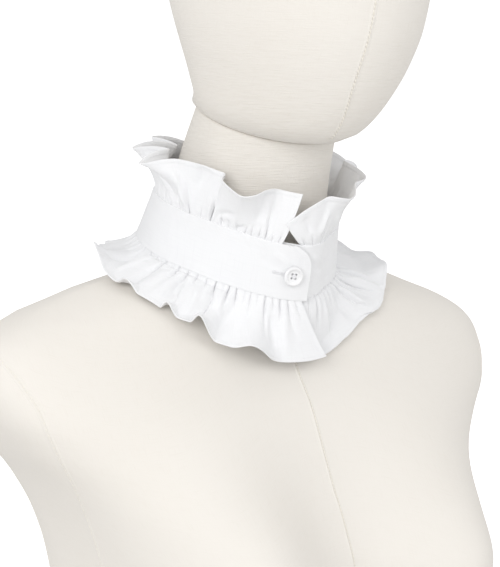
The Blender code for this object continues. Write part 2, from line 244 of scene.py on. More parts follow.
HEAD_SECTIONS = (
    Section(0, 0, 47.5, 47.5, 47.5, 2.0, 18),
    Section(3, 0, 50.5, 59, 48.5, 2.0, 17),
    Section(8, -6, 54, 66, 49.5, 2.0, 16),
    Section(16, -11, 57.5, 73, 57, 2.0, 14),
    Section(28, -16, 62, 80, 67, 2.0, 12),
    Section(46, -22, 69, 87, 79, 2.0, 9),
    Section(68, -26, 75, 93, 90, 2.0, 6),
    Section(92, -27, 78, 97, 97, 2.0, 3),
    Section(118, -28, 78.5, 98, 99, 2.0, 0),
    Section(146, -28, 77, 96, 98, 2.0, 0),
    Section(172, -27, 72, 89, 94, 2.0, 0),
    Section(197, -26, 61, 75, 83, 2.0, 0),
    Section(216, -25, 46, 56, 63, 2.0, 0),
    Section(229, -24, 27, 33, 37, 2.0, 0),
    Section(235, -24, 6, 8, 8, 2.0, 0),
)

BAND_SPANS = (
    Span(0, 78, 8), Span(13, 74.8, 8), Span(24, 71, 8), Span(47, 66.5, 8),
    Span(64, 65.5, 7), Span(82, 67.5, 6), Span(96, 68, 4.5), Span(116, 66, 3),
    Span(148, 65, 3), Span(182, 62, 4), Span(215, 65, 5), Span(274, 68.5, 8),
    Span(314, 68.5, 8), Span(336, 68.5, 8), Span(350, 72.5, 8), Span(360, 74, 8),
    Span(372, 71, 8), Span(386, 66.8, 8),
)

UPPER_FOLDS = (
    Fold(18.5, 104, -8), Fold(24, 111, -2), Fold(49, 64, 0), Fold(58, 77, 4),
    Fold(66, 95, 0), Fold(74, 91, 8), Fold(82, 80, 12), Fold(91, 44, 13),
    Fold(101, 88, 10), Fold(115, 50, 9), Fold(131, 102, 3), Fold(147, 66, -3),
    Fold(160, 101, 0), Fold(173, 70, 5), Fold(187, 98, 0), Fold(201, 55, 6),
    Fold(216, 101, 0), Fold(231, 62, -6), Fold(248, 97, 0), Fold(269, 43, 3),
    Fold(283, 85, 0), Fold(297, 69, 0), Fold(320, 84, 0), Fold(339, 74, 0),
    Fold(354, 96, 2), Fold(367, 100, 12),
)
LOWER_FOLDS = (
    Fold(2.5, -54, -10), Fold(13, -54, 0), Fold(29, -24, 0), Fold(35.5, -33, 0),
    Fold(41, -32, 0), Fold(47, -8, 2), Fold(52, -18.5, 0), Fold(56.3, -18, 0),
    Fold(60, -6, 1), Fold(64.3, -18, 0), Fold(69, -17.5, 0), Fold(77, -3, 1),
    Fold(82, -12, 0), Fold(87, -9, 0), Fold(94, 1, 0), Fold(101, 4, 0),
    Fold(109, -12, 1), Fold(119, -34, 0), Fold(131, -36, 2), Fold(143, -58, 0),
    Fold(155, -40, 0),
    Fold(169, -64, 0), Fold(181, -42, 3), Fold(194, -66, 0), Fold(207, -40, -3),
    Fold(221, -62, 0), Fold(234, -32, -2), Fold(247, -46, 0), Fold(258, -11, 0),
    Fold(270, -12, 0), Fold(281, 0, 2), Fold(289, 0, -2), Fold(297, 2, -5),
    Fold(306, -8, -9), Fold(313, -14, -13), Fold(320.5, -37, -17), Fold(326, -48, -18),
    Fold(333, -54, -11), Fold(341, -63, -5), Fold(356, -68, 0), Fold(376, -71, 0),
)

UPPER_REACH = (
    Reach(18.5, 1.0), Reach(350, 1.0), Reach(356, 0.92), Reach(361, 0.76), Reach(367, 0.38),
)
LOWER_REACH = (
    Reach(2.5, 0.88), Reach(7, 0.92), Reach(15, 0.95), Reach(26, 0.98), Reach(34, 1.0),
    Reach(88, 1.0), Reach(96, 0.93), Reach(103, 0.85), Reach(110, 0.69), Reach(122, 0.63),
    Reach(140, 0.74), Reach(158, 0.9), Reach(174, 1.0), Reach(324, 1.0), Reach(332, 0.87),
    Reach(341, 0.97), Reach(348, 1.0), Reach(376, 1.0),
)

UPPER_GATHERS = (
    Gather(20.5, 0.3, 1.3, 0), Gather(24.5, 0.22, 1.2, 0), Gather(28.5, 0.6, 1.7, 1),
    Gather(32.5, 0.26, 1.6, 0), Gather(37, 0.24, 1.4, 1), Gather(41, 0.22, 1.5, 0),
    Gather(46.5, 0.24, 1.3, 2), Gather(52, 0.2, 1.2, 2), Gather(57, 0.24, 1.4, 1),
    Gather(64.5, 0.46, 2.6, 0), Gather(71, 0.24, 1.3, 0), Gather(78.5, 0.78, 2.0, 1),
    Gather(86, 0.55, 1.3, 0), Gather(93, 0.45, 1.4, 0), Gather(99, 0.4, 1.2, 0),
)
UPPER_UNDER_GATHERS = (
    Gather(316, 0.4, 1.2, 0), Gather(322.5, 0.45, 1.4, 0), Gather(330, 0.4, 1.3, 0),
    Gather(339, 0.5, 1.4, 0), Gather(346, 0.3, 1.3, -1), Gather(351.5, 0.7, 1.7, -2),
    Gather(358.5, 0.35, 1.3, 1), Gather(364, 0.3, 1.2, 0),
)
LOWER_GATHERS = (
    Gather(6, 0.34, 1.3, -1), Gather(10, 0.7, 1.9, -2), Gather(14, 0.45, 2.2, -1),
    Gather(17.5, 0.28, 1.6, -1), Gather(21.3, 0.85, 2.1, 1), Gather(25, 0.16, 1.0, 0),
    Gather(28.7, 0.5, 1.5, 1), Gather(32, 0.3, 1.0, 0), Gather(36.7, 0.36, 2.3, -1),
    Gather(40.7, 0.55, 2.6, 3), Gather(44.2, 0.16, 0.9, 0), Gather(48.5, 0.9, 2.2, -1),
    Gather(54, 0.34, 1.5, -1), Gather(59.8, 0.3, 2.0, -1), Gather(65.6, 0.85, 2.3, -3),
    Gather(71.5, 0.48, 2.4, -2), Gather(75.5, 0.18, 0.9, 0), Gather(80, 0.62, 2.6, -2),
    Gather(87, 0.4, 1.4, 0), Gather(92.5, 0.5, 1.8, 0), Gather(99.5, 0.4, 1.5, 0),
)
LOWER_UNDER_GATHERS = (
    Gather(300, 0.9, 1.7, 0), Gather(306, 0.95, 2.0, 0), Gather(311, 0.5, 1.5, 0),
    Gather(315.5, 1.0, 2.4, 0), Gather(321, 0.55, 1.7, 0), Gather(327, 0.95, 2.4, 0),
    Gather(331.5, 0.4, 1.5, 0), Gather(336.5, 0.6, 1.7, 0), Gather(341.5, 0.65, 2.1, 0),
    Gather(346.5, 0.35, 1.3, 0), Gather(351, 0.85, 2.5, 0), Gather(357, 0.4, 1.4, 0),
)
FIRST_HIDDEN_TURN = 104.0
LAST_HIDDEN_TURN = 296.0

UPPER_GATHERING = (
    Gathering(18.5, 6.5, 1.4, 0.4), Gathering(104, 7.0, 1.4, 0.45), Gathering(180, 7.5, 1.5, 0.5),
    Gathering(270, 7.0, 1.5, 0.5), Gathering(369, 6.5, 1.3, 0.4),
)
LOWER_GATHERING = (
    Gathering(2.5, 5.5, 1.7, 0.45), Gathering(104, 6.5, 1.7, 0.45), Gathering(180, 6.5, 1.8, 0.45),
    Gathering(270, 6.5, 1.8, 0.5), Gathering(376, 5.5, 1.7, 0.45),
)

UPPER_PUFFS = (
    Puff(18.5, 0.6), Puff(60, 0.8), Puff(120, 0.8), Puff(240, 0.8), Puff(330, 1.0), Puff(369, 0.6),
)
LOWER_PUFFS = (
    Puff(2.5, 1.6), Puff(22, 1.6), Puff(36, 0.4), Puff(110, 0.4), Puff(150, 1.6), Puff(240, 1.2),
    Puff(258, 0.4), Puff(300, 0.4), Puff(312, 3.2), Puff(345, 3.4), Puff(376, 2.4),
)
PUFF_EARLY = 0.55            # below 1 a puff stands nearer the seam than the edge

UPPER_CREASES = (
    Crease(66.5, 0.1, 67.5, 0.5, 0.9, 2.2),
    Crease(61, 0.16, 50, 0.34, -0.9, 2.2),
    Crease(58, 0.07, 51, 0.1, -0.8, 1.4),
    Crease(48, 0.04, 42, 0.12, -0.9, 1.4),
    Crease(37, 0.95, 35, 0.3, -1.1, 4.0),
    Crease(27, 0.1, 29, 0.75, -0.8, 3.2),
    Crease(80, 0.1, 86, 0.85, 1.9, 3.4),
    Crease(88, 0.1, 92, 0.9, -1.3, 3.0),
    Crease(72, 0.97, 75, 0.5, -1.5, 3.6),
    Crease(355, 0.2, 350, 0.7, 0.9, 2.8),
    Crease(360, 0.3, 362, 0.8, -0.8, 2.2),
    Crease(338, 0.1, 343, 0.6, 0.9, 2.6),
    Crease(326, 0.1, 330, 0.7, -0.9, 2.6),
)
LOWER_CREASES = (
    Crease(48.5, 0.12, 47, 0.82, -1.3, 3.2),
    Crease(43.5, 0.2, 44, 0.75, 0.8, 3.0),
    Crease(18, 0.25, 17, 0.8, -1.1, 3.0),
    Crease(12, 0.3, 11.5, 0.85, 0.6, 2.6),
    Crease(65, 0.2, 60.5, 0.88, -1.2, 3.0),
    Crease(69, 0.3, 68, 0.85, 0.8, 3.2),
    Crease(56, 0.25, 54.5, 0.85, 0.8, 3.2),
    Crease(74, 0.2, 73, 0.75, 0.9, 3.6),
    Crease(80, 0.3, 77.5, 0.9, -1.1, 3.0),
    Crease(90, 0.15, 89, 0.8, 0.8, 3.0),
    Crease(97, 0.2, 98, 0.75, -0.9, 3.0),
    Crease(303, 0.2, 302, 0.85, 0.9, 2.6),
    Crease(311.5, 0.2, 311, 0.9, 1.1, 3.0),
    Crease(316, 0.1, 317.5, 0.95, -1.1, 2.6),
    Crease(320, 0.3, 319.5, 0.8, -0.8, 2.4),
    Crease(324, 0.15, 323.5, 0.8, 0.9, 2.6),
    Crease(332, 0.15, 331.5, 0.95, -1.0, 2.8),
    Crease(345, 0.2, 344, 0.75, 0.8, 2.6),
)
BAND_CREASES = (
    Crease(12.5, 0.66, 22, 0.8, -0.8, 2.2),
    Crease(17.5, 0.56, 29, 0.66, 0.5, 2.6),
    Crease(6.5, 0.8, 9.5, 0.95, -0.3, 2.0),
    Crease(349, 0.62, 358, 0.8, -0.9, 2.4),
    Crease(346, 0.46, 356, 0.55, 0.6, 3.0),
    Crease(60, 0.25, 92, 0.36, -0.35, 6.0),
    Crease(88, 0.7, 104, 0.45, 0.4, 6.0),
    Crease(210, 0.3, 236, 0.42, -0.35, 6.0),
    Crease(262, 0.7, 284, 0.5, 0.4, 6.0),
)


def smooth(places: Sequence[float], values: Sequence[float], at: np.ndarray) -> np.ndarray:
    """Read a smooth curve through a table's column, with no swing past a row.

    Args:
        places: Where the rows stand, rising.
        values: The column's value in each row.
        at: Where to read the curve.

    Returns:
        The curve's value at each place.
    """
    x = np.asarray(places, dtype=float)
    y = np.asarray(values, dtype=float)
    at = np.asarray(at, dtype=float)
    step = np.diff(x)
    slope = np.diff(y) / step
    before = slope[:-1]
    after = slope[1:]
    same_way = before * after > 0.0
    total = np.where(same_way, before + after, 1.0)
    inner = np.where(same_way, 2.0 * before * after / total, 0.0)
    tangent = np.concatenate(([slope[0]], inner, [slope[-1]]))
    i = np.clip(np.searchsorted(x, at, side="right") - 1, 0, len(x) - 2)
    t = np.clip((at - x[i]) / step[i], 0.0, 1.0)
    start = (1.0 + 2.0 * t) * (1.0 - t) ** 2 * y[i] + t ** 2 * (3.0 - 2.0 * t) * y[i + 1]
    bend = t * (1.0 - t) ** 2 * tangent[i] - t ** 2 * (1.0 - t) * tangent[i + 1]
    return start + bend * step[i]


def read(rows: Sequence[NamedTuple], place: str, name: str, at: np.ndarray) -> np.ndarray:
    """Read one column of a table smoothly.

    Args:
        rows: The table.
        place: The column that says where each row stands.
        name: The column to read.
        at: Where to read it.

    Returns:
        The column's value at each place.
    """
    return smooth([getattr(row, place) for row in rows], [getattr(row, name) for row in rows], at)


def ease(share: np.ndarray) -> np.ndarray:
    """A soft step from 0 to 1 as share goes from 0 to 1."""
    t = np.clip(share, 0.0, 1.0)
    return t * t * (3.0 - 2.0 * t)


def unit(vectors: np.ndarray) -> np.ndarray:
    """The same directions with a length of 1."""
    length = np.linalg.norm(vectors, axis=-1, keepdims=True)
    return vectors / np.maximum(length, 1e-12)


def running_length(points: np.ndarray, axis: int) -> np.ndarray:
    """How far along a grid's lines each point lies.

    Args:
        points: A grid of points.
        axis: The way along which to measure.

    Returns:
        The length from the line's first point to each point.
    """
    steps = np.linalg.norm(np.diff(points, axis=axis), axis=-1)
    start = np.zeros_like(np.take(steps, [0], axis=axis))
    return np.concatenate((start, np.cumsum(steps, axis=axis)), axis=axis)


def triangles_of(piece: bpy.types.Object) -> int:
    """How many triangles a piece has."""
    return sum(len(face.vertices) - 2 for face in piece.data.polygons)


def make_piece(name: str, points: np.ndarray, faces: list[tuple[int, ...]],
               uv: np.ndarray | None = None) -> bpy.types.Object:
    """Make a smooth mesh object in place.

    Args:
        name: The piece's name.
        points: Its points in metres.
        faces: Its faces, each wound to face outwards.
        uv: A flat place in metres for each point, where the weave follows the cloth.

    Returns:
        The new object, linked to the scene.
    """
    mesh = bpy.data.meshes.new(name)
    mesh.from_pydata(points.tolist(), [], faces)
    if uv is not None:
        layer = mesh.uv_layers.new(name=CLOTH_UV)
        corner_points = np.empty(len(mesh.loops), dtype=np.int32)
        mesh.loops.foreach_get("vertex_index", corner_points)
        layer.data.foreach_set("uv", uv[corner_points].astype(np.float32).ravel())
    mesh.shade_smooth()
    piece = bpy.data.objects.new(name, mesh)
    bpy.context.scene.collection.objects.link(piece)
    return piece


def grid_faces(rows: int, columns: int, first: int = 0, around: bool = False) -> list[tuple[int, ...]]:
    """The four-sided faces of a grid of points that are numbered row by row.

    Args:
        rows: How many rows of points.
        columns: How many points in a row.
        first: The first point's number.
        around: Whether each row closes on itself.

    Returns:
        The faces, wound row by row.
    """
    faces = []
    for i in range(rows - 1):
        low = first + i * columns
        high = low + columns
        for j in range(columns if around else columns - 1):
            after = (j + 1) % columns
            faces.append((low + j, low + after, high + after, high + j))
    return faces


def grid_normals(grid: np.ndarray) -> np.ndarray:
    """The direction that each point of a grid's faces looks in."""
    across = np.gradient(grid, axis=0)
    along = np.gradient(grid, axis=1)
    return unit(np.cross(along, across))


def cloth_wall(name: str, middle: np.ndarray, half: np.ndarray, uv: np.ndarray) -> bpy.types.Object:
    """A closed wall of cloth about its middle.

    Args:
        name: The piece's name.
        middle: A grid of points on the middle of the cloth, in metres.
        half: Half the cloth's thickness at each point, in metres.
        uv: Each point's flat place on the cloth, in metres.

    Returns:
        The finished piece.
    """
    rows, columns = middle.shape[:2]
    offset = grid_normals(middle) * half[..., None]
    face_side = (middle + offset).reshape(-1, 3)
    back_side = (middle - offset).reshape(-1, 3)
    count = rows * columns
    faces = grid_faces(rows, columns)
    faces += [tuple(count + k for k in reversed(face)) for face in grid_faces(rows, columns)]
    top = (rows - 1) * columns
    for j in range(columns - 1):
        faces.append((j + 1, j, count + j, count + j + 1))
        faces.append((top + j, top + j + 1, count + top + j + 1, count + top + j))
    end = columns - 1
    for i in range(rows - 1):
        near = i * columns
        far = near + columns
        faces.append((near, far, count + far, count + near))
        faces.append((far + end, near + end, count + near + end, count + far + end))
    flat = uv.reshape(-1, 2)
    return make_piece(name, np.concatenate((face_side, back_side)), faces, np.concatenate((flat, flat)))


def surface_tree(piece: bpy.types.Object) -> BVHTree:
    """A search tree over a piece's surface."""
    shape = bmesh.new()
    shape.from_mesh(piece.data)
    tree = BVHTree.FromBMesh(shape)
    shape.free()
    return tree


def keep_clear(points: np.ndarray, tree: BVHTree, clearance: float | np.ndarray) -> np.ndarray:
    """Move cloth out to the least clearance from the form.

    Args:
        points: A grid of points in metres, changed in place.
        tree: The form's surface.
        clearance: The least distance, in metres, for all points or for each.

    Returns:
        The same grid.
    """
    flat = points.reshape(-1, 3)
    least = np.broadcast_to(clearance, points.shape[:-1]).reshape(-1)
    for k, place in enumerate(flat):
        point = Vector(place)
        nearest, normal, _, _ = tree.find_nearest(point)
        depth = (point - nearest).dot(normal)
        if depth < least[k]:
            flat[k] = point + normal * (float(least[k]) - depth)
    return points


def crease_lift(creases: Sequence[Crease], turn: np.ndarray, share: np.ndarray, radius: float,
                width: float) -> np.ndarray:
    """How far the placed creases lift each point of a cloth.

    Args:
        creases: The creases.
        turn: Each point's turn.
        share: Each point's share of the cloth's width.
        radius: The radius at which turns are measured along the cloth.
        width: The cloth's width.

    Returns:
        The lift in millimetres.
    """
    along = np.radians(turn) * radius
    across = share * width
    lift = np.zeros(np.broadcast(turn, share).shape)
    for crease in creases:
        start = np.array((radians(crease.turn) * radius, crease.share * width))
        run = np.array((radians(crease.to_turn) * radius, crease.to_share * width)) - start
        place = ((along - start[0]) * run[0] + (across - start[1]) * run[1]) / run.dot(run)
        held = np.clip(place, 0.0, 1.0)
        distance = np.hypot(along - start[0] - held * run[0], across - start[1] - held * run[1])
        fade = 1.0 - CREASE_END_FADE * np.abs(2.0 * held - 1.0) ** CREASE_FADE_POWER
        lift += crease.depth * fade * np.exp(-(distance / crease.width) ** 2)
    return lift


@dataclass(frozen=True)
class CollarShape:
    """The tilted round frame that the collar is built in, with its band's size."""

    neck_height: float = 340.0
    neck_shift: float = 23.0
    tilt: float = 24.0
    setback: float = 3.0
    nape_drop: float = 20.0
    drop_power: float = 2.5
    tab_angle: float = 2.5
    bottom: float = -7.0
    top: float = 28.0

    def in_frame(self, points: np.ndarray) -> np.ndarray:
        """Points measured from the collar's reference point, as places in metres."""
        return (points + np.array((0.0, self.neck_shift, self.neck_height))) * MM

    def place(self, angle: np.ndarray, radius: np.ndarray, height: np.ndarray) -> np.ndarray:
        """Points of the collar's own frame.

        Args:
            angle: Degrees round from the throat.
            radius: Distance from the collar's axis.
            height: Height along that axis.

        Returns:
            The places in metres.
        """
        tilt = radians(self.tilt)
        turned = np.radians(angle)
        height = height - self.nape_drop * ((1.0 - np.cos(turned)) / 2.0) ** self.drop_power
        ahead = radius * np.cos(turned)
        side = radius * np.sin(turned)
        back = self.setback - ahead * cos(tilt) - height * sin(tilt)
        up = height * cos(tilt) - ahead * sin(tilt)
        return self.in_frame(np.stack(np.broadcast_arrays(side, back, up), axis=-1))

    def band_radius(self, turn: np.ndarray, height: np.ndarray) -> np.ndarray:
        """The band's radius at turns and at heights on the collar's axis."""
        rise = (height - self.bottom) / (self.top - self.bottom)
        narrowing = read(BAND_SPANS, "turn", "narrowing", turn)
        return read(BAND_SPANS, "turn", "radius", turn) - narrowing * rise

    def on_band(self, turn: np.ndarray, rise: np.ndarray) -> np.ndarray:
        """Places on the middle of the band; rise is 0 at its lower seam, 1 at its top."""
        height = self.bottom + (self.top - self.bottom) * rise
        return self.place(self.tab_angle - turn, self.band_radius(turn, height), height)


class NodeBench:
    """Adds nodes to one node tree and joins them."""

    def __init__(self, tree: bpy.types.NodeTree) -> None:
        """Work in the given tree."""
        self.tree = tree

    def add(self, kind: str, inputs: dict[str, object] | None = None,
            settings: dict[str, object] | None = None) -> bpy.types.Node:
        """Add a node.

        Args:
            kind: The node's type.
            inputs: A value for each named input, or the socket that feeds it.
            settings: The node's own properties.

        Returns:
            The new node.
        """
        node = self.tree.nodes.new(kind)
        for name, value in (settings or {}).items():
            setattr(node, name, value)
        for name, value in (inputs or {}).items():
            self.feed(node.inputs[name], value)
        return node

    def feed(self, socket: bpy.types.NodeSocket, value: object) -> None:
        """Join a socket to another, or give it a value."""
        if isinstance(value, bpy.types.NodeSocket):
            self.tree.links.new(value, socket)
        else:
            socket.default_value = value

    def math(self, operation: str, *values: object) -> bpy.types.NodeSocket:
        """Add a Math node.

        Args:
            operation: The node's operation.
            values: Its inputs in order, each a number or a socket.

        Returns:
            The node's output.
        """
        node = self.tree.nodes.new("ShaderNodeMath")
        node.operation = operation
        for socket, value in zip(node.inputs, values):
            self.feed(socket, value)
        return node.outputs[0]

    def scaled(self, place: bpy.types.NodeSocket,
               factors: tuple[float, float, float]) -> bpy.types.NodeSocket:
        """A place multiplied by a factor along each axis."""
        node = self.add("ShaderNodeVectorMath", settings={"operation": "MULTIPLY"})
        self.feed(node.inputs[0], place)
        self.feed(node.inputs[1], factors)
        return node.outputs[0]

    def noise(self, place: bpy.types.NodeSocket, scale: float,
              detail: float = 2.0) -> bpy.types.NodeSocket:
        """A noise value from 0 to 1 at a place."""
        inputs = {"Vector": place, "Scale": scale, "Detail": detail}
        return self.add("ShaderNodeTexNoise", inputs).outputs[0]

    def between(self, value: bpy.types.NodeSocket, low: float, high: float,
                to_low: float = 0.0, to_high: float = 1.0) -> bpy.types.NodeSocket:
        """A value moved from one range into another, held inside it."""
        return self.add("ShaderNodeMapRange", {
            "Value": value, "From Min": low, "From Max": high, "To Min": to_low, "To Max": to_high,
        }).outputs[0]

    def mixed(self, share: bpy.types.NodeSocket, first: tuple[float, ...],
              second: tuple[float, ...]) -> bpy.types.NodeSocket:
        """A colour between two, by share."""
        node = self.add("ShaderNodeMix", settings={"data_type": "RGBA"})
        self.feed(node.inputs["Factor"], share)
        node.inputs[6].default_value = (*first, 1.0)
        node.inputs[7].default_value = (*second, 1.0)
        return node.outputs[2]


@dataclass
class StitchRow:
    """Places of small stitches, with the way each runs and the way it faces."""

    places: np.ndarray
    along: np.ndarray
    outward: np.ndarray

    @classmethod
    def along_line(cls, line: np.ndarray, outward: np.ndarray, pitch: float,
                   slant: float = 0.0) -> "StitchRow":
        """Set stitches evenly along a line.

        Args:
            line: Points of the line in metres.
            outward: The way that the cloth faces at each point.
            pitch: Distance between stitches, in millimetres.
            slant: Degrees that each stitch is turned from the line.

        Returns:
            The row of stitches.
        """
        length = running_length(line, 0)
        count = max(2, int(length[-1] / (pitch * MM)))
        at = (np.arange(count) + 0.5) * length[-1] / count
        places = np.stack([np.interp(at, length, line[:, k]) for k in range(3)], axis=-1)
        facing = unit(np.stack([np.interp(at, length, outward[:, k]) for k in range(3)], axis=-1))
        step = pitch * MM * DIRECTION_STEP
        ahead = np.stack([np.interp(at + step, length, line[:, k]) for k in range(3)], axis=-1)
        behind = np.stack([np.interp(at - step, length, line[:, k]) for k in range(3)], axis=-1)
        run = unit(ahead - behind)
        sideways = np.cross(facing, run)
        turned = unit(run * cos(radians(slant)) + sideways * sin(radians(slant)))
        return cls(places, turned, facing)

    @classmethod
    def joined(cls, rows: Sequence["StitchRow"]) -> "StitchRow":
        """Several rows of stitches as one."""
        return cls(
            np.concatenate([row.places for row in rows]),
            np.concatenate([row.along for row in rows]),
            np.concatenate([row.outward for row in rows]),
        )


class StitchMaker:
    """Makes stitches on points with one Geometry Nodes tree."""

    LENGTH = "Stitch Length"
    RADIUS = "Thread Radius"
    THREAD = "Thread"
    ALONG = "along"
    OUTWARD = "outward"

    def __init__(self, sides: int = 6, rings: int = 4) -> None:
        """Build the tree; each stitch is a small swollen capsule of few faces."""
        self.tree = bpy.data.node_groups.new("laid_stitches", "GeometryNodeTree")
        socket = self.tree.interface.new_socket
        socket("Geometry", in_out="INPUT", socket_type="NodeSocketGeometry")
        socket(self.LENGTH, in_out="INPUT", socket_type="NodeSocketFloat")
        socket(self.RADIUS, in_out="INPUT", socket_type="NodeSocketFloat")
        socket(self.THREAD, in_out="INPUT", socket_type="NodeSocketMaterial")
        socket("Geometry", in_out="OUTPUT", socket_type="NodeSocketGeometry")
        nodes = NodeBench(self.tree)
        given = nodes.add("NodeGroupInput")
        half = nodes.math("MULTIPLY", given.outputs[self.LENGTH], 0.5)
        radius = given.outputs[self.RADIUS]
        size = nodes.add("ShaderNodeCombineXYZ", {"X": half, "Y": radius, "Z": radius})
        ball = nodes.add("GeometryNodeMeshUVSphere", {"Segments": sides, "Rings": rings, "Radius": 1.0})
        stitch = nodes.add("GeometryNodeTransform", {
            "Geometry": ball.outputs["Mesh"],
            "Scale": size.outputs[0],
        })
        run = self._aligned(nodes, "X", "AUTO", self.ALONG, None)
        facing = self._aligned(nodes, "Z", "X", self.OUTWARD, run.outputs["Rotation"])
        laid = nodes.add("GeometryNodeInstanceOnPoints", {
            "Points": given.outputs["Geometry"],
            "Instance": stitch.outputs["Geometry"],
            "Rotation": facing.outputs["Rotation"],
        })
        real = nodes.add("GeometryNodeRealizeInstances", {"Geometry": laid.outputs["Instances"]})
        even = nodes.add("GeometryNodeSetShadeSmooth", {"Geometry": real.outputs["Geometry"]})
        dressed = nodes.add("GeometryNodeSetMaterial", {
            "Geometry": even.outputs["Geometry"],
            "Material": given.outputs[self.THREAD],
        })
        nodes.add("NodeGroupOutput", {"Geometry": dressed.outputs["Geometry"]})

    @staticmethod
    def _aligned(nodes: "NodeBench", axis: str, pivot: str, attribute: str,
                 rotation: bpy.types.NodeSocket | None) -> bpy.types.Node:
        """A node that turns one axis of a stitch to a stored direction."""
        stored = nodes.add("GeometryNodeInputNamedAttribute", {"Name": attribute},
                           {"data_type": "FLOAT_VECTOR"})
        inputs = {"Vector": stored.outputs["Attribute"]}
        if rotation is not None:
            inputs["Rotation"] = rotation
        return nodes.add("FunctionNodeAlignRotationToVector", inputs, {"axis": axis, "pivot_axis": pivot})

    def _identifier(self, name: str) -> str:
        """The tree input's identifier, under which a modifier keeps its value."""
        for item in self.tree.interface.items_tree:
            if item.item_type == "SOCKET" and item.in_out == "INPUT" and item.name == name:
                return item.identifier
        raise KeyError(name)

    def lay(self, name: str, row: StitchRow, length: float, radius: float,
            thread: bpy.types.Material) -> bpy.types.Object:
        """Make a plain mesh of stitches.

        Args:
            name: The piece's name.
            row: The stitches' places and directions.
            length: A stitch's length in millimetres.
            radius: The thread's radius in millimetres.
            thread: The thread's material.

        Returns:
            The finished piece.
        """
        points = bpy.data.meshes.new(name + "_points")
        points.from_pydata(row.places.tolist(), [], [])
        for label, values in ((self.ALONG, row.along), (self.OUTWARD, row.outward)):
            stored = points.attributes.new(label, "FLOAT_VECTOR", "POINT")
            stored.data.foreach_set("vector", values.astype(np.float32).ravel())
        carrier = bpy.data.objects.new(name + "_points", points)
        bpy.context.scene.collection.objects.link(carrier)
        modifier = carrier.modifiers.new("stitches", "NODES")
        modifier.node_group = self.tree
        modifier[self._identifier(self.LENGTH)] = length * MM
        modifier[self._identifier(self.RADIUS)] = radius * MM
        modifier[self._identifier(self.THREAD)] = thread
        depsgraph = bpy.context.evaluated_depsgraph_get()
        mesh = bpy.data.meshes.new_from_object(carrier.evaluated_get(depsgraph))
        mesh.name = name
        bpy.data.objects.remove(carrier, do_unlink=True)
        piece = bpy.data.objects.new(name, mesh)
        bpy.context.scene.collection.objects.link(piece)
        return piece


class Effects:
    """Shader groups that more than one finish uses, each built once."""

    SLUB_SLENDERNESS = 34.0
    SLUB_BEGINS = 0.54
    SLUB_FULL = 0.74
    PATCH_SCALE = 0.22

    def __init__(self) -> None:
        """Build the groups."""
        self.threads = self._woven_threads()
        self.rumple = self._soft_rumple()

    @staticmethod
    def _group(name: str, inputs: Sequence[str],
               outputs: Sequence[str]) -> tuple[NodeBench, bpy.types.Node]:
        """Start a group whose first input is a place and whose others are numbers."""
        tree = bpy.data.node_groups.new(name, "ShaderNodeTree")
        tree.interface.new_socket("Place", in_out="INPUT", socket_type="NodeSocketVector")
        for label in inputs:
            tree.interface.new_socket(label, in_out="INPUT", socket_type="NodeSocketFloat")
        for label in outputs:
            tree.interface.new_socket(label, in_out="OUTPUT", socket_type="NodeSocketFloat")
        bench = NodeBench(tree)
        return bench, bench.add("NodeGroupInput")

    def _woven_threads(self) -> bpy.types.NodeTree:
        """A plain weave with slubs: the threads' height, and where thick threads run."""
        bench, given = self._group("woven_threads", ("Thread Pitch", "Slub Length"), ("Height", "Slubs"))
        place = given.outputs["Place"]
        turn = bench.math("DIVIDE", 2.0 * pi, given.outputs["Thread Pitch"])
        wound = bench.add("ShaderNodeVectorMath", {"Scale": turn}, {"operation": "SCALE"})
        bench.feed(wound.inputs[0], place)
        parts = bench.add("ShaderNodeSeparateXYZ", {"Vector": wound.outputs[0]})
        crossing = bench.math("MULTIPLY", bench.math("SINE", parts.outputs["X"]),
                              bench.math("SINE", parts.outputs["Y"]))
        height = bench.math("MULTIPLY_ADD", crossing, 0.5, 0.5)
        long_way = bench.math("DIVIDE", 1.0, given.outputs["Slub Length"])
        cross_way = bench.math("MULTIPLY", long_way, self.SLUB_SLENDERNESS)
        found = []
        for x, y in ((long_way, cross_way), (cross_way, long_way)):
            factors = bench.add("ShaderNodeCombineXYZ", {"X": x, "Y": y})
            spread = bench.add("ShaderNodeVectorMath", settings={"operation": "MULTIPLY"})
            bench.feed(spread.inputs[0], place)
            bench.feed(spread.inputs[1], factors.outputs[0])
            uneven = bench.noise(spread.outputs[0], 1.0)
            found.append(bench.between(uneven, self.SLUB_BEGINS, self.SLUB_FULL))
        slubs = bench.math("MAXIMUM", found[0], found[1])
        bench.add("NodeGroupOutput", {"Height": height, "Slubs": slubs})
        return bench.tree

    def _soft_rumple(self) -> bpy.types.NodeTree:
        """Soft uneven relief of handled cloth, and slow patches of tone."""
        bench, given = self._group("soft_rumple", ("Rumple Size",), ("Height", "Patches"))
        place = given.outputs["Place"]
        scale = bench.math("DIVIDE", 1.0, given.outputs["Rumple Size"])
        wound = bench.add("ShaderNodeVectorMath", {"Scale": scale}, {"operation": "SCALE"})
        bench.feed(wound.inputs[0], place)
        height = bench.noise(wound.outputs[0], 1.0, 3.0)
        patches = bench.noise(wound.outputs[0], self.PATCH_SCALE, 1.0)
        bench.add("NodeGroupOutput", {"Height": height, "Patches": patches})
        return bench.tree

    def place(self, bench: NodeBench, group: bpy.types.NodeTree,
              inputs: dict[str, object]) -> bpy.types.Node:
        """Put one of the groups into a material with its own values."""
        node = bench.tree.nodes.new("ShaderNodeGroup")
        node.node_tree = group
        for name, value in inputs.items():
            bench.feed(node.inputs[name], value)
        return node


def new_material(name: str) -> tuple[bpy.types.Material, NodeBench, bpy.types.Node]:
    """A material with its node bench and its Principled shader."""
    material = bpy.data.materials.new(name)
    material.use_nodes = True
    return material, NodeBench(material.node_tree), material.node_tree.nodes["Principled BSDF"]


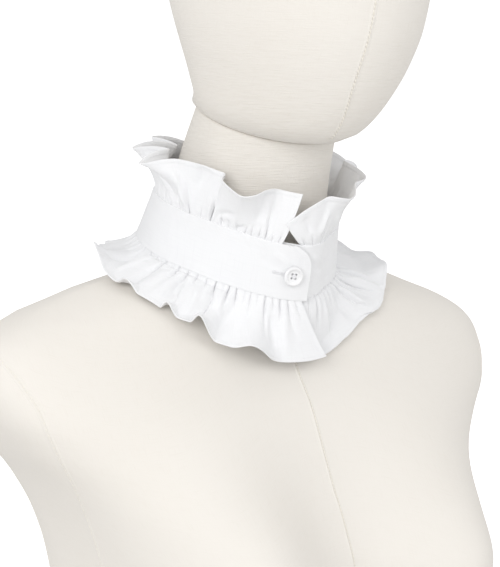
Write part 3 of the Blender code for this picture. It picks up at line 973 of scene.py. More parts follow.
@dataclass(frozen=True)
class Cotton:
    """Crisp white poplin: a fine plain weave, faint slubs and the rumple of pressing."""

    colour: tuple[float, float, float] = (0.825, 0.828, 0.838)
    slub_colour: tuple[float, float, float] = (0.775, 0.778, 0.792)
    thread_pitch: float = 0.00045
    slub_length: float = 0.022
    rumple_size: float = 0.009
    roughness: float = 0.82
    roughness_swing: float = 0.04
    sheen: float = 0.12
    specular: float = 0.25
    glow: float = 0.25
    glow_depth: float = 0.0004
    slub_tone: float = 0.5
    rumple_strength: float = 0.35
    rumple_depth: float = 0.0006
    weave_strength: float = 0.25
    weave_depth: float = 0.00005

    def make(self, effects: Effects) -> bpy.types.Material:
        """The material, on the cloth's own flat places."""
        material, bench, shader = new_material("white_poplin")
        flat = bench.add("ShaderNodeUVMap", settings={"uv_map": CLOTH_UV}).outputs[0]
        body = bench.add("ShaderNodeTexCoord").outputs["Object"]
        weave = effects.place(bench, effects.threads, {
            "Place": flat, "Thread Pitch": self.thread_pitch, "Slub Length": self.slub_length})
        rumple = effects.place(bench, effects.rumple, {"Place": body, "Rumple Size": self.rumple_size})
        tone = bench.math("MULTIPLY", weave.outputs["Slubs"], self.slub_tone)
        bench.feed(shader.inputs["Base Color"], bench.mixed(tone, self.colour, self.slub_colour))
        soft = bench.add("ShaderNodeBump", {
            "Height": rumple.outputs["Height"], "Strength": self.rumple_strength,
            "Distance": self.rumple_depth})
        fine = bench.add("ShaderNodeBump", {
            "Height": weave.outputs["Height"], "Strength": self.weave_strength,
            "Distance": self.weave_depth, "Normal": soft.outputs[0]})
        bench.feed(shader.inputs["Normal"], fine.outputs[0])
        smoothest = self.roughness - self.roughness_swing
        roughest = self.roughness + self.roughness_swing
        bench.feed(shader.inputs["Roughness"], bench.between(
            rumple.outputs["Patches"], 0.3, 0.7, smoothest, roughest))
        shader.inputs["Sheen Weight"].default_value = self.sheen
        shader.inputs["Specular IOR Level"].default_value = self.specular
        shader.inputs["Subsurface Weight"].default_value = self.glow
        shader.inputs["Subsurface Radius"].default_value = (1.0, 1.0, 1.0)
        shader.inputs["Subsurface Scale"].default_value = self.glow_depth
        return material


@dataclass(frozen=True)
class Linen:
    """Fine ecru linen, stretched over the padding, with slubs that draw out on the neck."""

    colour: tuple[float, float, float] = (0.795, 0.762, 0.712)
    slub_colour: tuple[float, float, float] = (0.72, 0.675, 0.61)
    thread_pitch: float = 0.0006
    slub_length: float = 0.012
    rumple_size: float = 0.02
    roughness: float = 0.86
    sheen: float = 0.1
    specular: float = 0.25
    slub_tone: float = 0.35
    rib_tone: float = 0.22
    patch_tone: float = 0.12
    slub_strength: float = 0.14
    slub_depth: float = 0.0002
    weave_strength: float = 0.35
    weave_depth: float = 0.00008
    rib_strength: float = 0.34
    rib_depth: float = 0.00035
    rib_pitch: float = 0.0008
    rib_length: float = 0.012
    ribs_begin: float = 0.355
    ribs_end: float = 0.47
    rib_fade_in: float = 0.03
    rib_fade_out: float = 0.05
    ribs_on_head: float = 0.18

    def make(self, effects: Effects) -> bpy.types.Material:
        """The material, on the cloth's own flat places and the form's height."""
        material, bench, shader = new_material("ecru_linen")
        flat = bench.add("ShaderNodeUVMap", settings={"uv_map": CLOTH_UV}).outputs[0]
        body = bench.add("ShaderNodeTexCoord").outputs["Object"]
        weave = effects.place(bench, effects.threads, {
            "Place": flat, "Thread Pitch": self.thread_pitch, "Slub Length": self.slub_length})
        rumple = effects.place(bench, effects.rumple, {"Place": body, "Rumple Size": self.rumple_size})
        ribs = self._ribs(bench, body)
        tone = bench.math("ADD", bench.math("MULTIPLY", weave.outputs["Slubs"], self.slub_tone),
                          bench.math("MULTIPLY", ribs, self.rib_tone))
        patches = bench.between(rumple.outputs["Patches"], 0.3, 0.7, -self.patch_tone, self.patch_tone)
        shade = bench.math("ADD", tone, patches)
        bench.feed(shader.inputs["Base Color"], bench.mixed(shade, self.colour, self.slub_colour))
        pulled = bench.add("ShaderNodeBump", {
            "Height": ribs, "Strength": self.rib_strength, "Distance": self.rib_depth})
        soft = bench.add("ShaderNodeBump", {
            "Height": weave.outputs["Slubs"], "Strength": self.slub_strength,
            "Distance": self.slub_depth, "Normal": pulled.outputs[0]})
        fine = bench.add("ShaderNodeBump", {
            "Height": weave.outputs["Height"], "Strength": self.weave_strength,
            "Distance": self.weave_depth, "Normal": soft.outputs[0]})
        bench.feed(shader.inputs["Normal"], fine.outputs[0])
        shader.inputs["Roughness"].default_value = self.roughness
        shader.inputs["Sheen Weight"].default_value = self.sheen
        shader.inputs["Specular IOR Level"].default_value = self.specular
        return material

    def _ribs(self, bench: NodeBench, body: bpy.types.NodeSocket) -> bpy.types.NodeSocket:
        """Broken level lines, strongest on the neck and faint on the head."""
        stretched = bench.scaled(body, (1.0 / self.rib_length, 1.0 / self.rib_length, 1.0 / self.rib_pitch))
        lines = bench.between(bench.noise(stretched, 1.0, 1.0), 0.42, 0.66)
        height = bench.add("ShaderNodeSeparateXYZ", {"Vector": body}).outputs["Z"]
        above = bench.between(height, self.ribs_begin - self.rib_fade_in, self.ribs_begin)
        below = bench.between(height, self.ribs_end - self.rib_fade_out,
                              self.ribs_end + self.rib_fade_in, 1.0, self.ribs_on_head)
        return bench.math("MULTIPLY", lines, bench.math("MULTIPLY", above, below))


@dataclass(frozen=True)
class Thread:
    """Sewing thread: a smooth strand whose plies show as a fine slant."""

    name: str
    colour: tuple[float, float, float]
    roughness: float = 0.6
    ply_pitch: float = 0.0004
    ply_slubs: float = 0.004
    ply_strength: float = 0.3
    ply_depth: float = 0.00004
    darkening: float = 0.9
    sheen: float = 0.15

    def make(self, effects: Effects) -> bpy.types.Material:
        """The material, on the strand's place in the part."""
        material, bench, shader = new_material(self.name)
        body = bench.add("ShaderNodeTexCoord").outputs["Object"]
        plies = effects.place(bench, effects.threads, {
            "Place": body, "Thread Pitch": self.ply_pitch, "Slub Length": self.ply_slubs})
        darker = tuple(self.darkening * part for part in self.colour)
        bench.feed(shader.inputs["Base Color"], bench.mixed(plies.outputs["Slubs"], self.colour, darker))
        bump = bench.add("ShaderNodeBump", {
            "Height": plies.outputs["Height"], "Strength": self.ply_strength,
            "Distance": self.ply_depth})
        bench.feed(shader.inputs["Normal"], bump.outputs[0])
        shader.inputs["Roughness"].default_value = self.roughness
        shader.inputs["Sheen Weight"].default_value = self.sheen
        return material


@dataclass(frozen=True)
class Resin:
    """Polished white button resin with a faint cloud and soft polishing marks."""

    colour: tuple[float, float, float] = (0.86, 0.86, 0.865)
    cloud_colour: tuple[float, float, float] = (0.80, 0.80, 0.81)
    cloud_size: float = 0.003
    roughness: float = 0.28
    smoother_by: float = 0.05
    rougher_by: float = 0.07
    mark_strength: float = 0.08
    mark_depth: float = 0.0001
    coat: float = 0.25
    coat_roughness: float = 0.15

    def make(self, effects: Effects) -> bpy.types.Material:
        """The material, on the button's place in the part."""
        material, bench, shader = new_material("button_resin_white")
        body = bench.add("ShaderNodeTexCoord").outputs["Object"]
        cloud = effects.place(bench, effects.rumple, {"Place": body, "Rumple Size": self.cloud_size})
        bench.feed(shader.inputs["Base Color"], bench.mixed(
            bench.between(cloud.outputs["Patches"], 0.35, 0.65), self.colour, self.cloud_colour))
        smoothest = self.roughness - self.smoother_by
        roughest = self.roughness + self.rougher_by
        bench.feed(shader.inputs["Roughness"], bench.between(
            cloud.outputs["Height"], 0.3, 0.7, smoothest, roughest))
        bump = bench.add("ShaderNodeBump", {
            "Height": cloud.outputs["Height"], "Strength": self.mark_strength,
            "Distance": self.mark_depth})
        bench.feed(shader.inputs["Normal"], bump.outputs[0])
        shader.inputs["Coat Weight"].default_value = self.coat
        shader.inputs["Coat Roughness"].default_value = self.coat_roughness
        return material


@dataclass
class Ruffle:
    """A gathered strip of cotton that is sewn into one seam of the band."""

    name: str
    shape: CollarShape
    folds: tuple[Fold, ...]
    reaches: tuple[Reach, ...]
    placed: tuple[Gather, ...]
    placed_under: tuple[Gather, ...]
    gathering: tuple[Gathering, ...]
    creases: tuple[Crease, ...]
    puffs: tuple[Puff, ...]
    start: float
    stop: float
    width: float
    seam: float
    root_pitch: float
    outward: Outward
    flat: tuple[float, float]
    seed: int
    columns: int = 980
    thinning: float = 0.34
    thinning_ease: float = 12.0
    turn_per_mm: float = 0.5
    wobble: float = 0.02
    hidden_gap: float = 4.0
    hidden_jitter: float = 0.34
    least_size: float = 0.6
    size_range: float = 0.7
    hidden_drift: float = 4.0
    valley: float = 0.5
    valley_growth: float = 1.5
    valley_at_seam: float = 0.55
    valley_gain: float = 0.45
    gain_share: float = 0.06
    valley_fade: float = 1.5
    valley_power: float = 1.5
    shoulder: float = 0.26
    valley_span: float = 4.5
    row_spacing: float = 1.25
    turnout: float = 0.5
    late_lean: float = 0.9
    sewn_in: float = 1.6
    half_wall: float = 0.26
    rim_share: float = 0.96
    hem: float = 3.0
    hem_step: float = 0.35
    hem_half_wall: float = 0.44
    stitch_inset: float = 2.3
    stitch_pitch: float = 2.5
    clearance: float = 1.35
    crease_radius: float = 80.0
    crease_strength: float = 2.3
    fold_room: float = 2.5
    fold_room_begins: float = 0.14

    def turns(self) -> np.ndarray:
        """The turns of the columns: closer on the part that is fully shaped and round each end."""
        fine = np.linspace(self.start, self.stop, FINE_TURNS)
        away = np.minimum(np.abs(fine - FIRST_HIDDEN_TURN), np.abs(fine - LAST_HIDDEN_TURN))
        hidden = (fine > FIRST_HIDDEN_TURN) & (fine < LAST_HIDDEN_TURN)
        density = np.where(hidden, 1.0 - self.thinning * ease(away / self.thinning_ease), 1.0)
        running = np.cumsum(density) - density[0]
        even = np.interp(np.linspace(0.0, running[-1], self.columns), running, fine)
        close = np.array(RUFFLE_END_INSETS) * self.turn_per_mm
        return np.sort(np.concatenate((even, self.start + close, self.stop - close)))

    def shares(self) -> np.ndarray:
        """The rows' shares of the width, closer at the seam, the hem's step and the edge."""
        body = np.linspace(0.0, self.width - self.hem, round(self.width / self.row_spacing))
        sewn = np.array((-self.sewn_in, -0.5 * self.sewn_in))
        hem = self.width - np.array(HEM_INSETS)
        return np.concatenate((sewn, body, hem)) / self.width

    def width_at(self, turn: np.ndarray) -> np.ndarray:
        """The width that shows; an under end may be turned down, and an edge curled under."""
        return self.width * read(self.reaches, "turn", "share", turn)

    def surface(self, turn: np.ndarray, share: np.ndarray) -> np.ndarray:
        """The ruffle's large form, as its solid has it.

        Args:
            turn: Turns of the columns, as one row.
            share: Shares of the width, as one column.

        Returns:
            A grid of places in metres.
        """
        pitch = read(self.folds, "turn", "pitch", turn) + self.edge_wobble(turn)
        lean = read(self.folds, "turn", "lean", turn)
        free = np.maximum(share, 0.0)
        slope = np.radians(self.root_pitch + (pitch - self.root_pitch) * free ** self.turnout)
        length = self.width_at(turn) * share
        radius = self.shape.band_radius(turn, self.seam) + length * np.cos(slope)
        angle = self.shape.tab_angle - turn - lean * free ** self.late_lean
        return self.shape.place(angle, radius, self.seam + length * np.sin(slope))

    def edge_wobble(self, turn: np.ndarray) -> np.ndarray:
        """Small uneven changes of pitch, so that no fold repeats another."""
        chance = np.random.default_rng(self.seed)
        wobble = np.zeros_like(turn)
        for period in WOBBLE_PERIODS:
            wobble += self.wobble * period * np.sin(2.0 * pi * (turn / period + chance.random()))
        return wobble

    def gathers(self) -> list[Gather]:
        """The placed gathers, with uneven ones like them between, on the hidden part."""
        chance = np.random.default_rng(self.seed + 1)
        fine = np.linspace(FIRST_HIDDEN_TURN, LAST_HIDDEN_TURN, FINE_HIDDEN_TURNS)
        fine = fine[fine > self.placed[-1].turn + self.hidden_gap]
        fine = fine[fine < self.placed_under[0].turn - self.hidden_gap]
        crowding = np.cumsum(1.0 / read(self.gathering, "turn", "spacing", fine)) * (fine[1] - fine[0])
        hidden = []
        for k in range(int(crowding[-1])):
            step = k + 0.5 + self.hidden_jitter * (chance.random() - 0.5)
            middle = float(np.interp(step, crowding, fine))
            depth = float(read(self.gathering, "turn", "depth", middle))
            depth = depth * (self.least_size + self.size_range * chance.random())
            reach = float(read(self.gathering, "turn", "reach", middle))
            reach = reach * (self.least_size + self.size_range * chance.random())
            hidden.append(Gather(middle, reach, depth, self.hidden_drift * (chance.random() - 0.5)))
        return [*self.placed, *hidden, *self.placed_under]

    def gather_lift(self, turn: np.ndarray, share: np.ndarray) -> np.ndarray:
        """How far the gathers lift the cloth: narrow valleys that open towards the edge.

        Args:
            turn: Turns of the columns, as one row.
            share: Shares of the width, as one column.

        Returns:
            The lift in millimetres.
        """
        free = np.clip(share, 0.0, 1.0)
        open_to = self.valley + self.valley_growth * free
        lift = np.zeros(np.broadcast(turn, share).shape)
        for gather in self.gathers():
            grown = self.valley_at_seam + self.valley_gain * ease(free / self.gain_share)
            held = grown * (1.0 - ease(free / gather.reach) ** self.valley_fade)
            away = np.abs(turn - gather.turn - gather.drift * free / gather.reach) / open_to
            valley = self.shoulder - (1.0 + self.shoulder) * np.exp(-away ** self.valley_power)
            lift += gather.depth * held * valley * np.exp(-(away / self.valley_span) ** 4)
        return lift

    def middle(self, tree: BVHTree) -> np.ndarray:
        """The middle of the cloth with its gathers and creases, clear of the form."""
        turn = self.turns()[None, :]
        share = self.shares()[:, None]
        large = self.surface(turn, share)
        away = grid_normals(large) * self.outward.value
        swell = read(self.puffs, "turn", "swell", turn)
        swell = swell * np.sin(pi * np.clip(share, 0.0, 1.0) ** PUFF_EARLY)
        room = self.clearance + self.fold_room * ease(share / self.fold_room_begins)
        swollen = keep_clear(large + away * swell[..., None] * MM, tree, room * MM)
        creased = crease_lift(self.creases, turn, share, self.crease_radius, self.width)
        lift = self.gather_lift(turn, share) + self.crease_strength * creased
        return keep_clear(swollen + away * lift[..., None] * MM, tree, self.clearance * MM)

    def half_thickness(self, middle: np.ndarray) -> np.ndarray:
        """Half the wall at each point, thicker in the rolled hem and round at the edges."""
        across = running_length(middle, 0) / MM
        along = running_length(middle, 1) / MM
        inward = np.minimum(across[-1:] - across, np.minimum(along, along[:, -1:] - along))
        rolled = 1.0 - ease((inward - self.hem + self.hem_step) / self.hem_step)
        half = self.half_wall + (self.hem_half_wall - self.half_wall) * rolled
        edge = np.clip(1.0 - inward / self.hem_half_wall, 0.0, self.rim_share)
        return half * np.sqrt(1.0 - edge ** 2) * MM

    def flat_places(self, middle: np.ndarray) -> np.ndarray:
        """Each point's place on the flat cut strip, in metres."""
        rows, columns = middle.shape[:2]
        along = np.linspace(0.0, self.flat[1], columns)[None, :].repeat(rows, axis=0)
        return np.stack((along, running_length(middle, 0)), axis=-1)

    def build(self, tree: BVHTree) -> tuple[bpy.types.Object, np.ndarray]:
        """Make the ruffle.

        Args:
            tree: The form's surface.

        Returns:
            The finished piece, and the grid of its middle.
        """
        middle = self.middle(tree)
        piece = cloth_wall(self.name, middle, self.half_thickness(middle), self.flat_places(middle))
        return piece, middle

    def hem_stitches(self, middle: np.ndarray, face: float) -> "StitchRow":
        """Where the hem's stitches lie on one face of the cloth.

        Args:
            middle: The grid of the ruffle's middle.
            face: 1 for the face that looks away from the neck, -1 for the other.

        Returns:
            The row of stitches.
        """
        across = running_length(middle, 0)
        inset = (across[-1] - self.stitch_inset * MM)[None, :]
        row = np.argmin(np.abs(across - inset), axis=0)
        columns = np.arange(middle.shape[1])
        facing = grid_normals(middle) * self.outward.value * face
        line = middle[row, columns] + facing[row, columns] * self.hem_half_wall * MM
        return StitchRow.along_line(line, facing[row, columns], self.stitch_pitch)


@dataclass
class Band:
    """The buttoned neckband: two layers of cotton with their seam allowances inside."""

    shape: CollarShape
    turn_length: float = 384.0
    width: float = 35.0
    tab_corner: float = 14.0
    tab_blend: float = 20.0
    columns: int = 640
    rows: int = 36
    rows_begin: float = 0.055
    rows_end: float = 0.945
    turn_per_mm: float = 0.7
    half_wall: float = 0.82
    rim_share: float = 0.97
    allowance: float = 5.0
    allowance_half: float = 0.14
    allowance_step: float = 1.2
    crease_turn: float = 20.0
    pucker: float = 0.16
    pucker_width: float = 3.5
    pucker_seed: int = 5
    clearance: float = 1.6
    button_turn: float = 10.0
    button_level: float = 0.47
    button_pull: float = 0.5
    button_pull_radius: float = 7.5
    flat: tuple[float, float] = (0.037, 0.455)

    def tab_cut(self, rise: np.ndarray) -> np.ndarray:
        """Degrees taken off the buttoned end where its upper corner is rounded."""
        over = np.clip(rise * self.width - (self.width - self.tab_corner), 0.0, self.tab_corner)
        cut = self.tab_corner - np.sqrt(self.tab_corner ** 2 - over ** 2)
        return np.degrees(cut / self.shape.band_radius(0.0, self.shape.top))

    def grid_turns(self) -> np.ndarray:
        """The columns' turns, with closer ones that round the two ends."""
        close = np.array(BAND_END_INSETS) * self.turn_per_mm
        even = np.linspace(0.0, self.turn_length, self.columns)
        return np.sort(np.concatenate((even, close, self.turn_length - close)))

    def rises(self) -> np.ndarray:
        """The rows' rises, closer where the long edges are round."""
        edge = np.array(BAND_EDGE_INSETS) / self.width
        body = np.linspace(self.rows_begin, self.rows_end, self.rows)
        return np.concatenate((edge, body, 1.0 - edge[::-1]))

    def middle(self, tree: BVHTree) -> np.ndarray:
        """The middle of the band, with its creases, clear of the form."""
        rise = self.rises()[:, None]
        turn = self.grid_turns()[None, :]
        fade = np.maximum(0.0, 1.0 - turn / self.tab_blend)
        moved = turn + self.tab_cut(rise) * fade
        large = self.shape.on_band(moved, rise)
        radius = float(self.shape.band_radius(self.crease_turn, 0.0))
        lift = crease_lift(BAND_CREASES, moved, rise, radius, self.width)
        lift += self.seam_puckers(turn, rise) + self.button_dip(moved, rise)
        away = grid_normals(large)
        return keep_clear(large + away * lift[..., None] * MM, tree, self.clearance * MM)

    def seam_puckers(self, turn: np.ndarray, rise: np.ndarray) -> np.ndarray:
        """Small uneven lifts beside the two gathered seams, in millimetres."""
        chance = np.random.default_rng(self.pucker_seed)
        lift = np.zeros(np.broadcast(turn, rise).shape)
        for near in (rise, 1.0 - rise):
            wave = np.zeros_like(turn)
            for period in PUCKER_PERIODS:
                wave = wave + np.sin(2.0 * pi * (turn / period + chance.random())) / len(PUCKER_PERIODS)
            lift += self.pucker * wave * np.exp(-(near * self.width / self.pucker_width) ** 2)
        return lift

    def button_dip(self, turn: np.ndarray, rise: np.ndarray) -> np.ndarray:
        """The shallow dip that the button's thread pulls, in millimetres."""
        along = np.radians(turn - self.button_turn) * float(self.shape.band_radius(self.button_turn, 0.0))
        across = (rise - self.button_level) * self.width
        return -self.button_pull * np.exp(-(along ** 2 + across ** 2) / self.button_pull_radius ** 2)

    def half_thickness(self, middle: np.ndarray) -> np.ndarray:
        """Half the wall at each point: fuller over the allowances, round at the edges."""
        across = running_length(middle, 0) / MM
        along = running_length(middle, 1) / MM
        inward = np.minimum(across, across[-1:] - across)
        inward = np.minimum(inward, np.minimum(along, along[:, -1:] - along))
        flush = ease((inward - self.allowance) / self.allowance_step)
        full = self.half_wall + self.allowance_half * (1.0 - flush)
        edge = np.clip(1.0 - inward / self.half_wall, 0.0, self.rim_share)
        return full * np.sqrt(1.0 - edge ** 2) * MM

    def build(self, tree: BVHTree) -> tuple[bpy.types.Object, np.ndarray]:
        """Make the band.

        Args:
            tree: The form's surface.

        Returns:
            The finished piece, and the grid of its middle.
        """
        middle = self.middle(tree)
        places = np.stack((running_length(middle, 1), running_length(middle, 0)), axis=-1)
        return cloth_wall("neck_band", middle, self.half_thickness(middle), places), middle

    def frame_at(self, turn: float, level: float) -> tuple[Vector, Vector, Vector, Vector]:
        """The band's place and directions at a turn and a share of its width.

        Args:
            turn: The turn from the buttoned end.
            level: The share of the width above the lower seam.

        Returns:
            The place on the band's middle, then along the band towards its end, up
            across it, and outwards.
        """
        here = Vector(self.shape.on_band(turn, level))
        before = Vector(self.shape.on_band(turn - 1.0, level))
        after = Vector(self.shape.on_band(turn + 1.0, level))
        along = (before - after).normalized()
        upward = (Vector(self.shape.on_band(turn, level + 0.1)) - here).normalized()
        outward = along.cross(upward).normalized()
        return here, along, outward.cross(along), outward


@dataclass
class Button:
    """A four-hole shirt button with a raised rim, sewn on with a cross of thread."""

    band: Band
    diameter: float = 13.0
    thickness: float = 2.6
    seat: float = 0.3
    gap: float = 0.3
    band_thickness: float = 2.0
    steps: int = 96
    holes: int = 4
    hole: float = 1.7
    hole_circle: float = 3.4
    hole_steps: int = 24
    cutter_length: float = 4.0
    sharp_angle: float = 50.0
    strands: int = 3
    strand_radius: float = 0.25
    strand_apart: float = 0.42
    strand_rise: float = 0.6
    pair_rise: float = 1.3
    outline: tuple[tuple[float, float], ...] = (
        (0.0, 0.60), (0.3, 0.595), (0.5, 0.6), (0.58, 0.63), (0.64, 0.72), (0.69, 0.86),
        (0.745, 0.965), (0.81, 1.0), (0.87, 0.985), (0.93, 0.9), (0.975, 0.75), (1.0, 0.5),
        (0.985, 0.3), (0.94, 0.14), (0.86, 0.03), (0.76, 0.0), (0.4, 0.0), (0.0, 0.0),
    )

    def place(self) -> Matrix:
        """Where the button lies on the band, with its face turned outwards."""
        here, along, upward, outward = self.band.frame_at(self.band.button_turn, self.band.button_level)
        radius = float(self.band.shape.band_radius(self.band.button_turn, self.band.shape.bottom))
        bulge = (self.diameter / 2.0) ** 2 / (2.0 * radius)
        stand = self.band_thickness / 2.0 + self.gap + self.seat * bulge
        place = Matrix((along, upward, outward)).transposed().to_4x4()
        place.translation = here + outward * stand * MM
        return place

    def turned(self) -> bpy.types.Object:
        """The button without its holes, in place."""
        radius = self.diameter / 2.0 * MM
        rim = np.array(self.outline[1:-1])
        angle = 2.0 * pi * np.arange(self.steps) / self.steps
        points = np.stack(np.broadcast_arrays(
            rim[:, :1] * radius * np.cos(angle),
            rim[:, :1] * radius * np.sin(angle),
            rim[:, 1:] * self.thickness * MM), axis=-1).reshape(-1, 3)
        rows = len(rim)
        faces = [tuple(reversed(face)) for face in grid_faces(rows, self.steps, around=True)]
        crown = len(points)
        ends = np.array(((0.0, 0.0, self.outline[0][1]), (0.0, 0.0, self.outline[-1][1])))
        last = (rows - 1) * self.steps
        for j in range(self.steps):
            after = (j + 1) % self.steps
            faces.append((crown, j, after))
            faces.append((crown + 1, last + after, last + j))
        everything = np.concatenate((points, ends * self.thickness * MM))
        button = make_piece("shirt_button", everything, faces)
        button.data.transform(self.place())
        return button

    def hole_centres(self) -> list[Vector]:
        """The holes' middles on the button's own face."""
        centres = []
        for k in range(self.holes):
            angle = 2.0 * pi * (k + 0.5) / self.holes
            centres.append(Vector((cos(angle), sin(angle), 0.0)) * self.hole_circle / 2.0 * MM)
        return centres

    def build(self) -> bpy.types.Object:
        """Make the button with its holes cut through."""
        button = self.turned()
        place = self.place()
        cutters = []
        for k, centre in enumerate(self.hole_centres()):
            shape = bmesh.new()
            bmesh.ops.create_cone(
                shape, cap_ends=True, segments=self.hole_steps, radius1=self.hole / 2.0 * MM,
                radius2=self.hole / 2.0 * MM, depth=self.cutter_length * self.thickness * MM)
            mesh = bpy.data.meshes.new(f"hole_cutter_{k}")
            shape.to_mesh(mesh)
            shape.free()
            mesh.transform(place @ Matrix.Translation(centre))
            cutter = bpy.data.objects.new(f"hole_cutter_{k}", mesh)
            bpy.context.scene.collection.objects.link(cutter)
            cutters.append(cutter)
            cut = button.modifiers.new(f"hole_{k}", "BOOLEAN")
            cut.operation = "DIFFERENCE"
            cut.solver = "EXACT"
            cut.object = cutter
        depsgraph = bpy.context.evaluated_depsgraph_get()
        finished = bpy.data.meshes.new_from_object(button.evaluated_get(depsgraph))
        button.modifiers.clear()
        button.data = finished
        finished.shade_smooth()
        finished.set_sharp_from_angle(angle=radians(self.sharp_angle))
        for cutter in cutters:
            bpy.data.objects.remove(cutter, do_unlink=True)
        return button

    def thread_rows(self) -> StitchRow:
        """The strands that cross between opposite holes, one pair over the other."""
        place = self.place()
        centres = self.hole_centres()
        outward = place.to_3x3() @ Vector((0.0, 0.0, 1.0))
        places = []
        ways = []
        for pair in range(self.holes // 2):
            first = centres[pair]
            second = centres[pair + self.holes // 2]
            way = (second - first).normalized()
            sideways = Vector((-way.y, way.x, 0.0))
            rise = (self.strand_rise + self.pair_rise * pair) * self.strand_radius
            level = (self.outline[0][1] * self.thickness + rise) * MM
            for strand in range(self.strands):
                offset = (strand - (self.strands - 1) / 2.0) * self.strand_apart * MM
                middle = sideways * offset + Vector((0.0, 0.0, level))
                places.append(place @ middle)
                ways.append(place.to_3x3() @ way)
        return StitchRow(np.array(places), np.array(ways), np.array([outward] * len(places)))


@dataclass
class Buttonhole:
    """The worked buttonhole that runs along the band under the button."""

    band: Band
    surface: BVHTree
    length: float = 15.5
    begins_before: float = 1.5
    lip: float = 0.62
    pitch: float = 0.46
    end_stitches: int = 5
    end_pitch: float = 0.5
    end_overlap: float = 0.3
    lift: float = 0.06
    look_from: float = 5.0
    stitch_length: float = 1.25
    stitch_radius: float = 0.2

    def rows(self) -> StitchRow:
        """The stitches of both lips and of the bar at each end, laid on the band's face."""
        radius = float(self.band.shape.band_radius(self.band.button_turn, 0.0))
        to_turn = 180.0 / (pi * radius)
        begin = self.band.button_turn - self.begins_before * to_turn
        count = int(self.length / self.pitch)
        spots = []
        for k in range(count):
            along = k * self.pitch
            spots.append((along, self.lip, False))
            spots.append((along, -self.lip, False))
        for end in (-0.5 * self.pitch, (count - self.end_overlap) * self.pitch):
            for k in range(self.end_stitches):
                across = (k - (self.end_stitches - 1) / 2.0) * self.end_pitch
                spots.append((end, across, True))
        places = []
        ways = []
        facing = []
        for along, across, bar in spots:
            turn = begin + along * to_turn
            level = self.band.button_level + across / self.band.width
            here, run, upward, outward = self.band.frame_at(turn, level)
            outside = here + outward * self.look_from * MM
            hit, normal, _, _ = self.surface.ray_cast(outside, -outward)
            places.append(hit + normal * self.lift * MM)
            ways.append(run if bar else upward)
            facing.append(normal)
        return StitchRow(np.array(places), np.array(ways), np.array(facing))


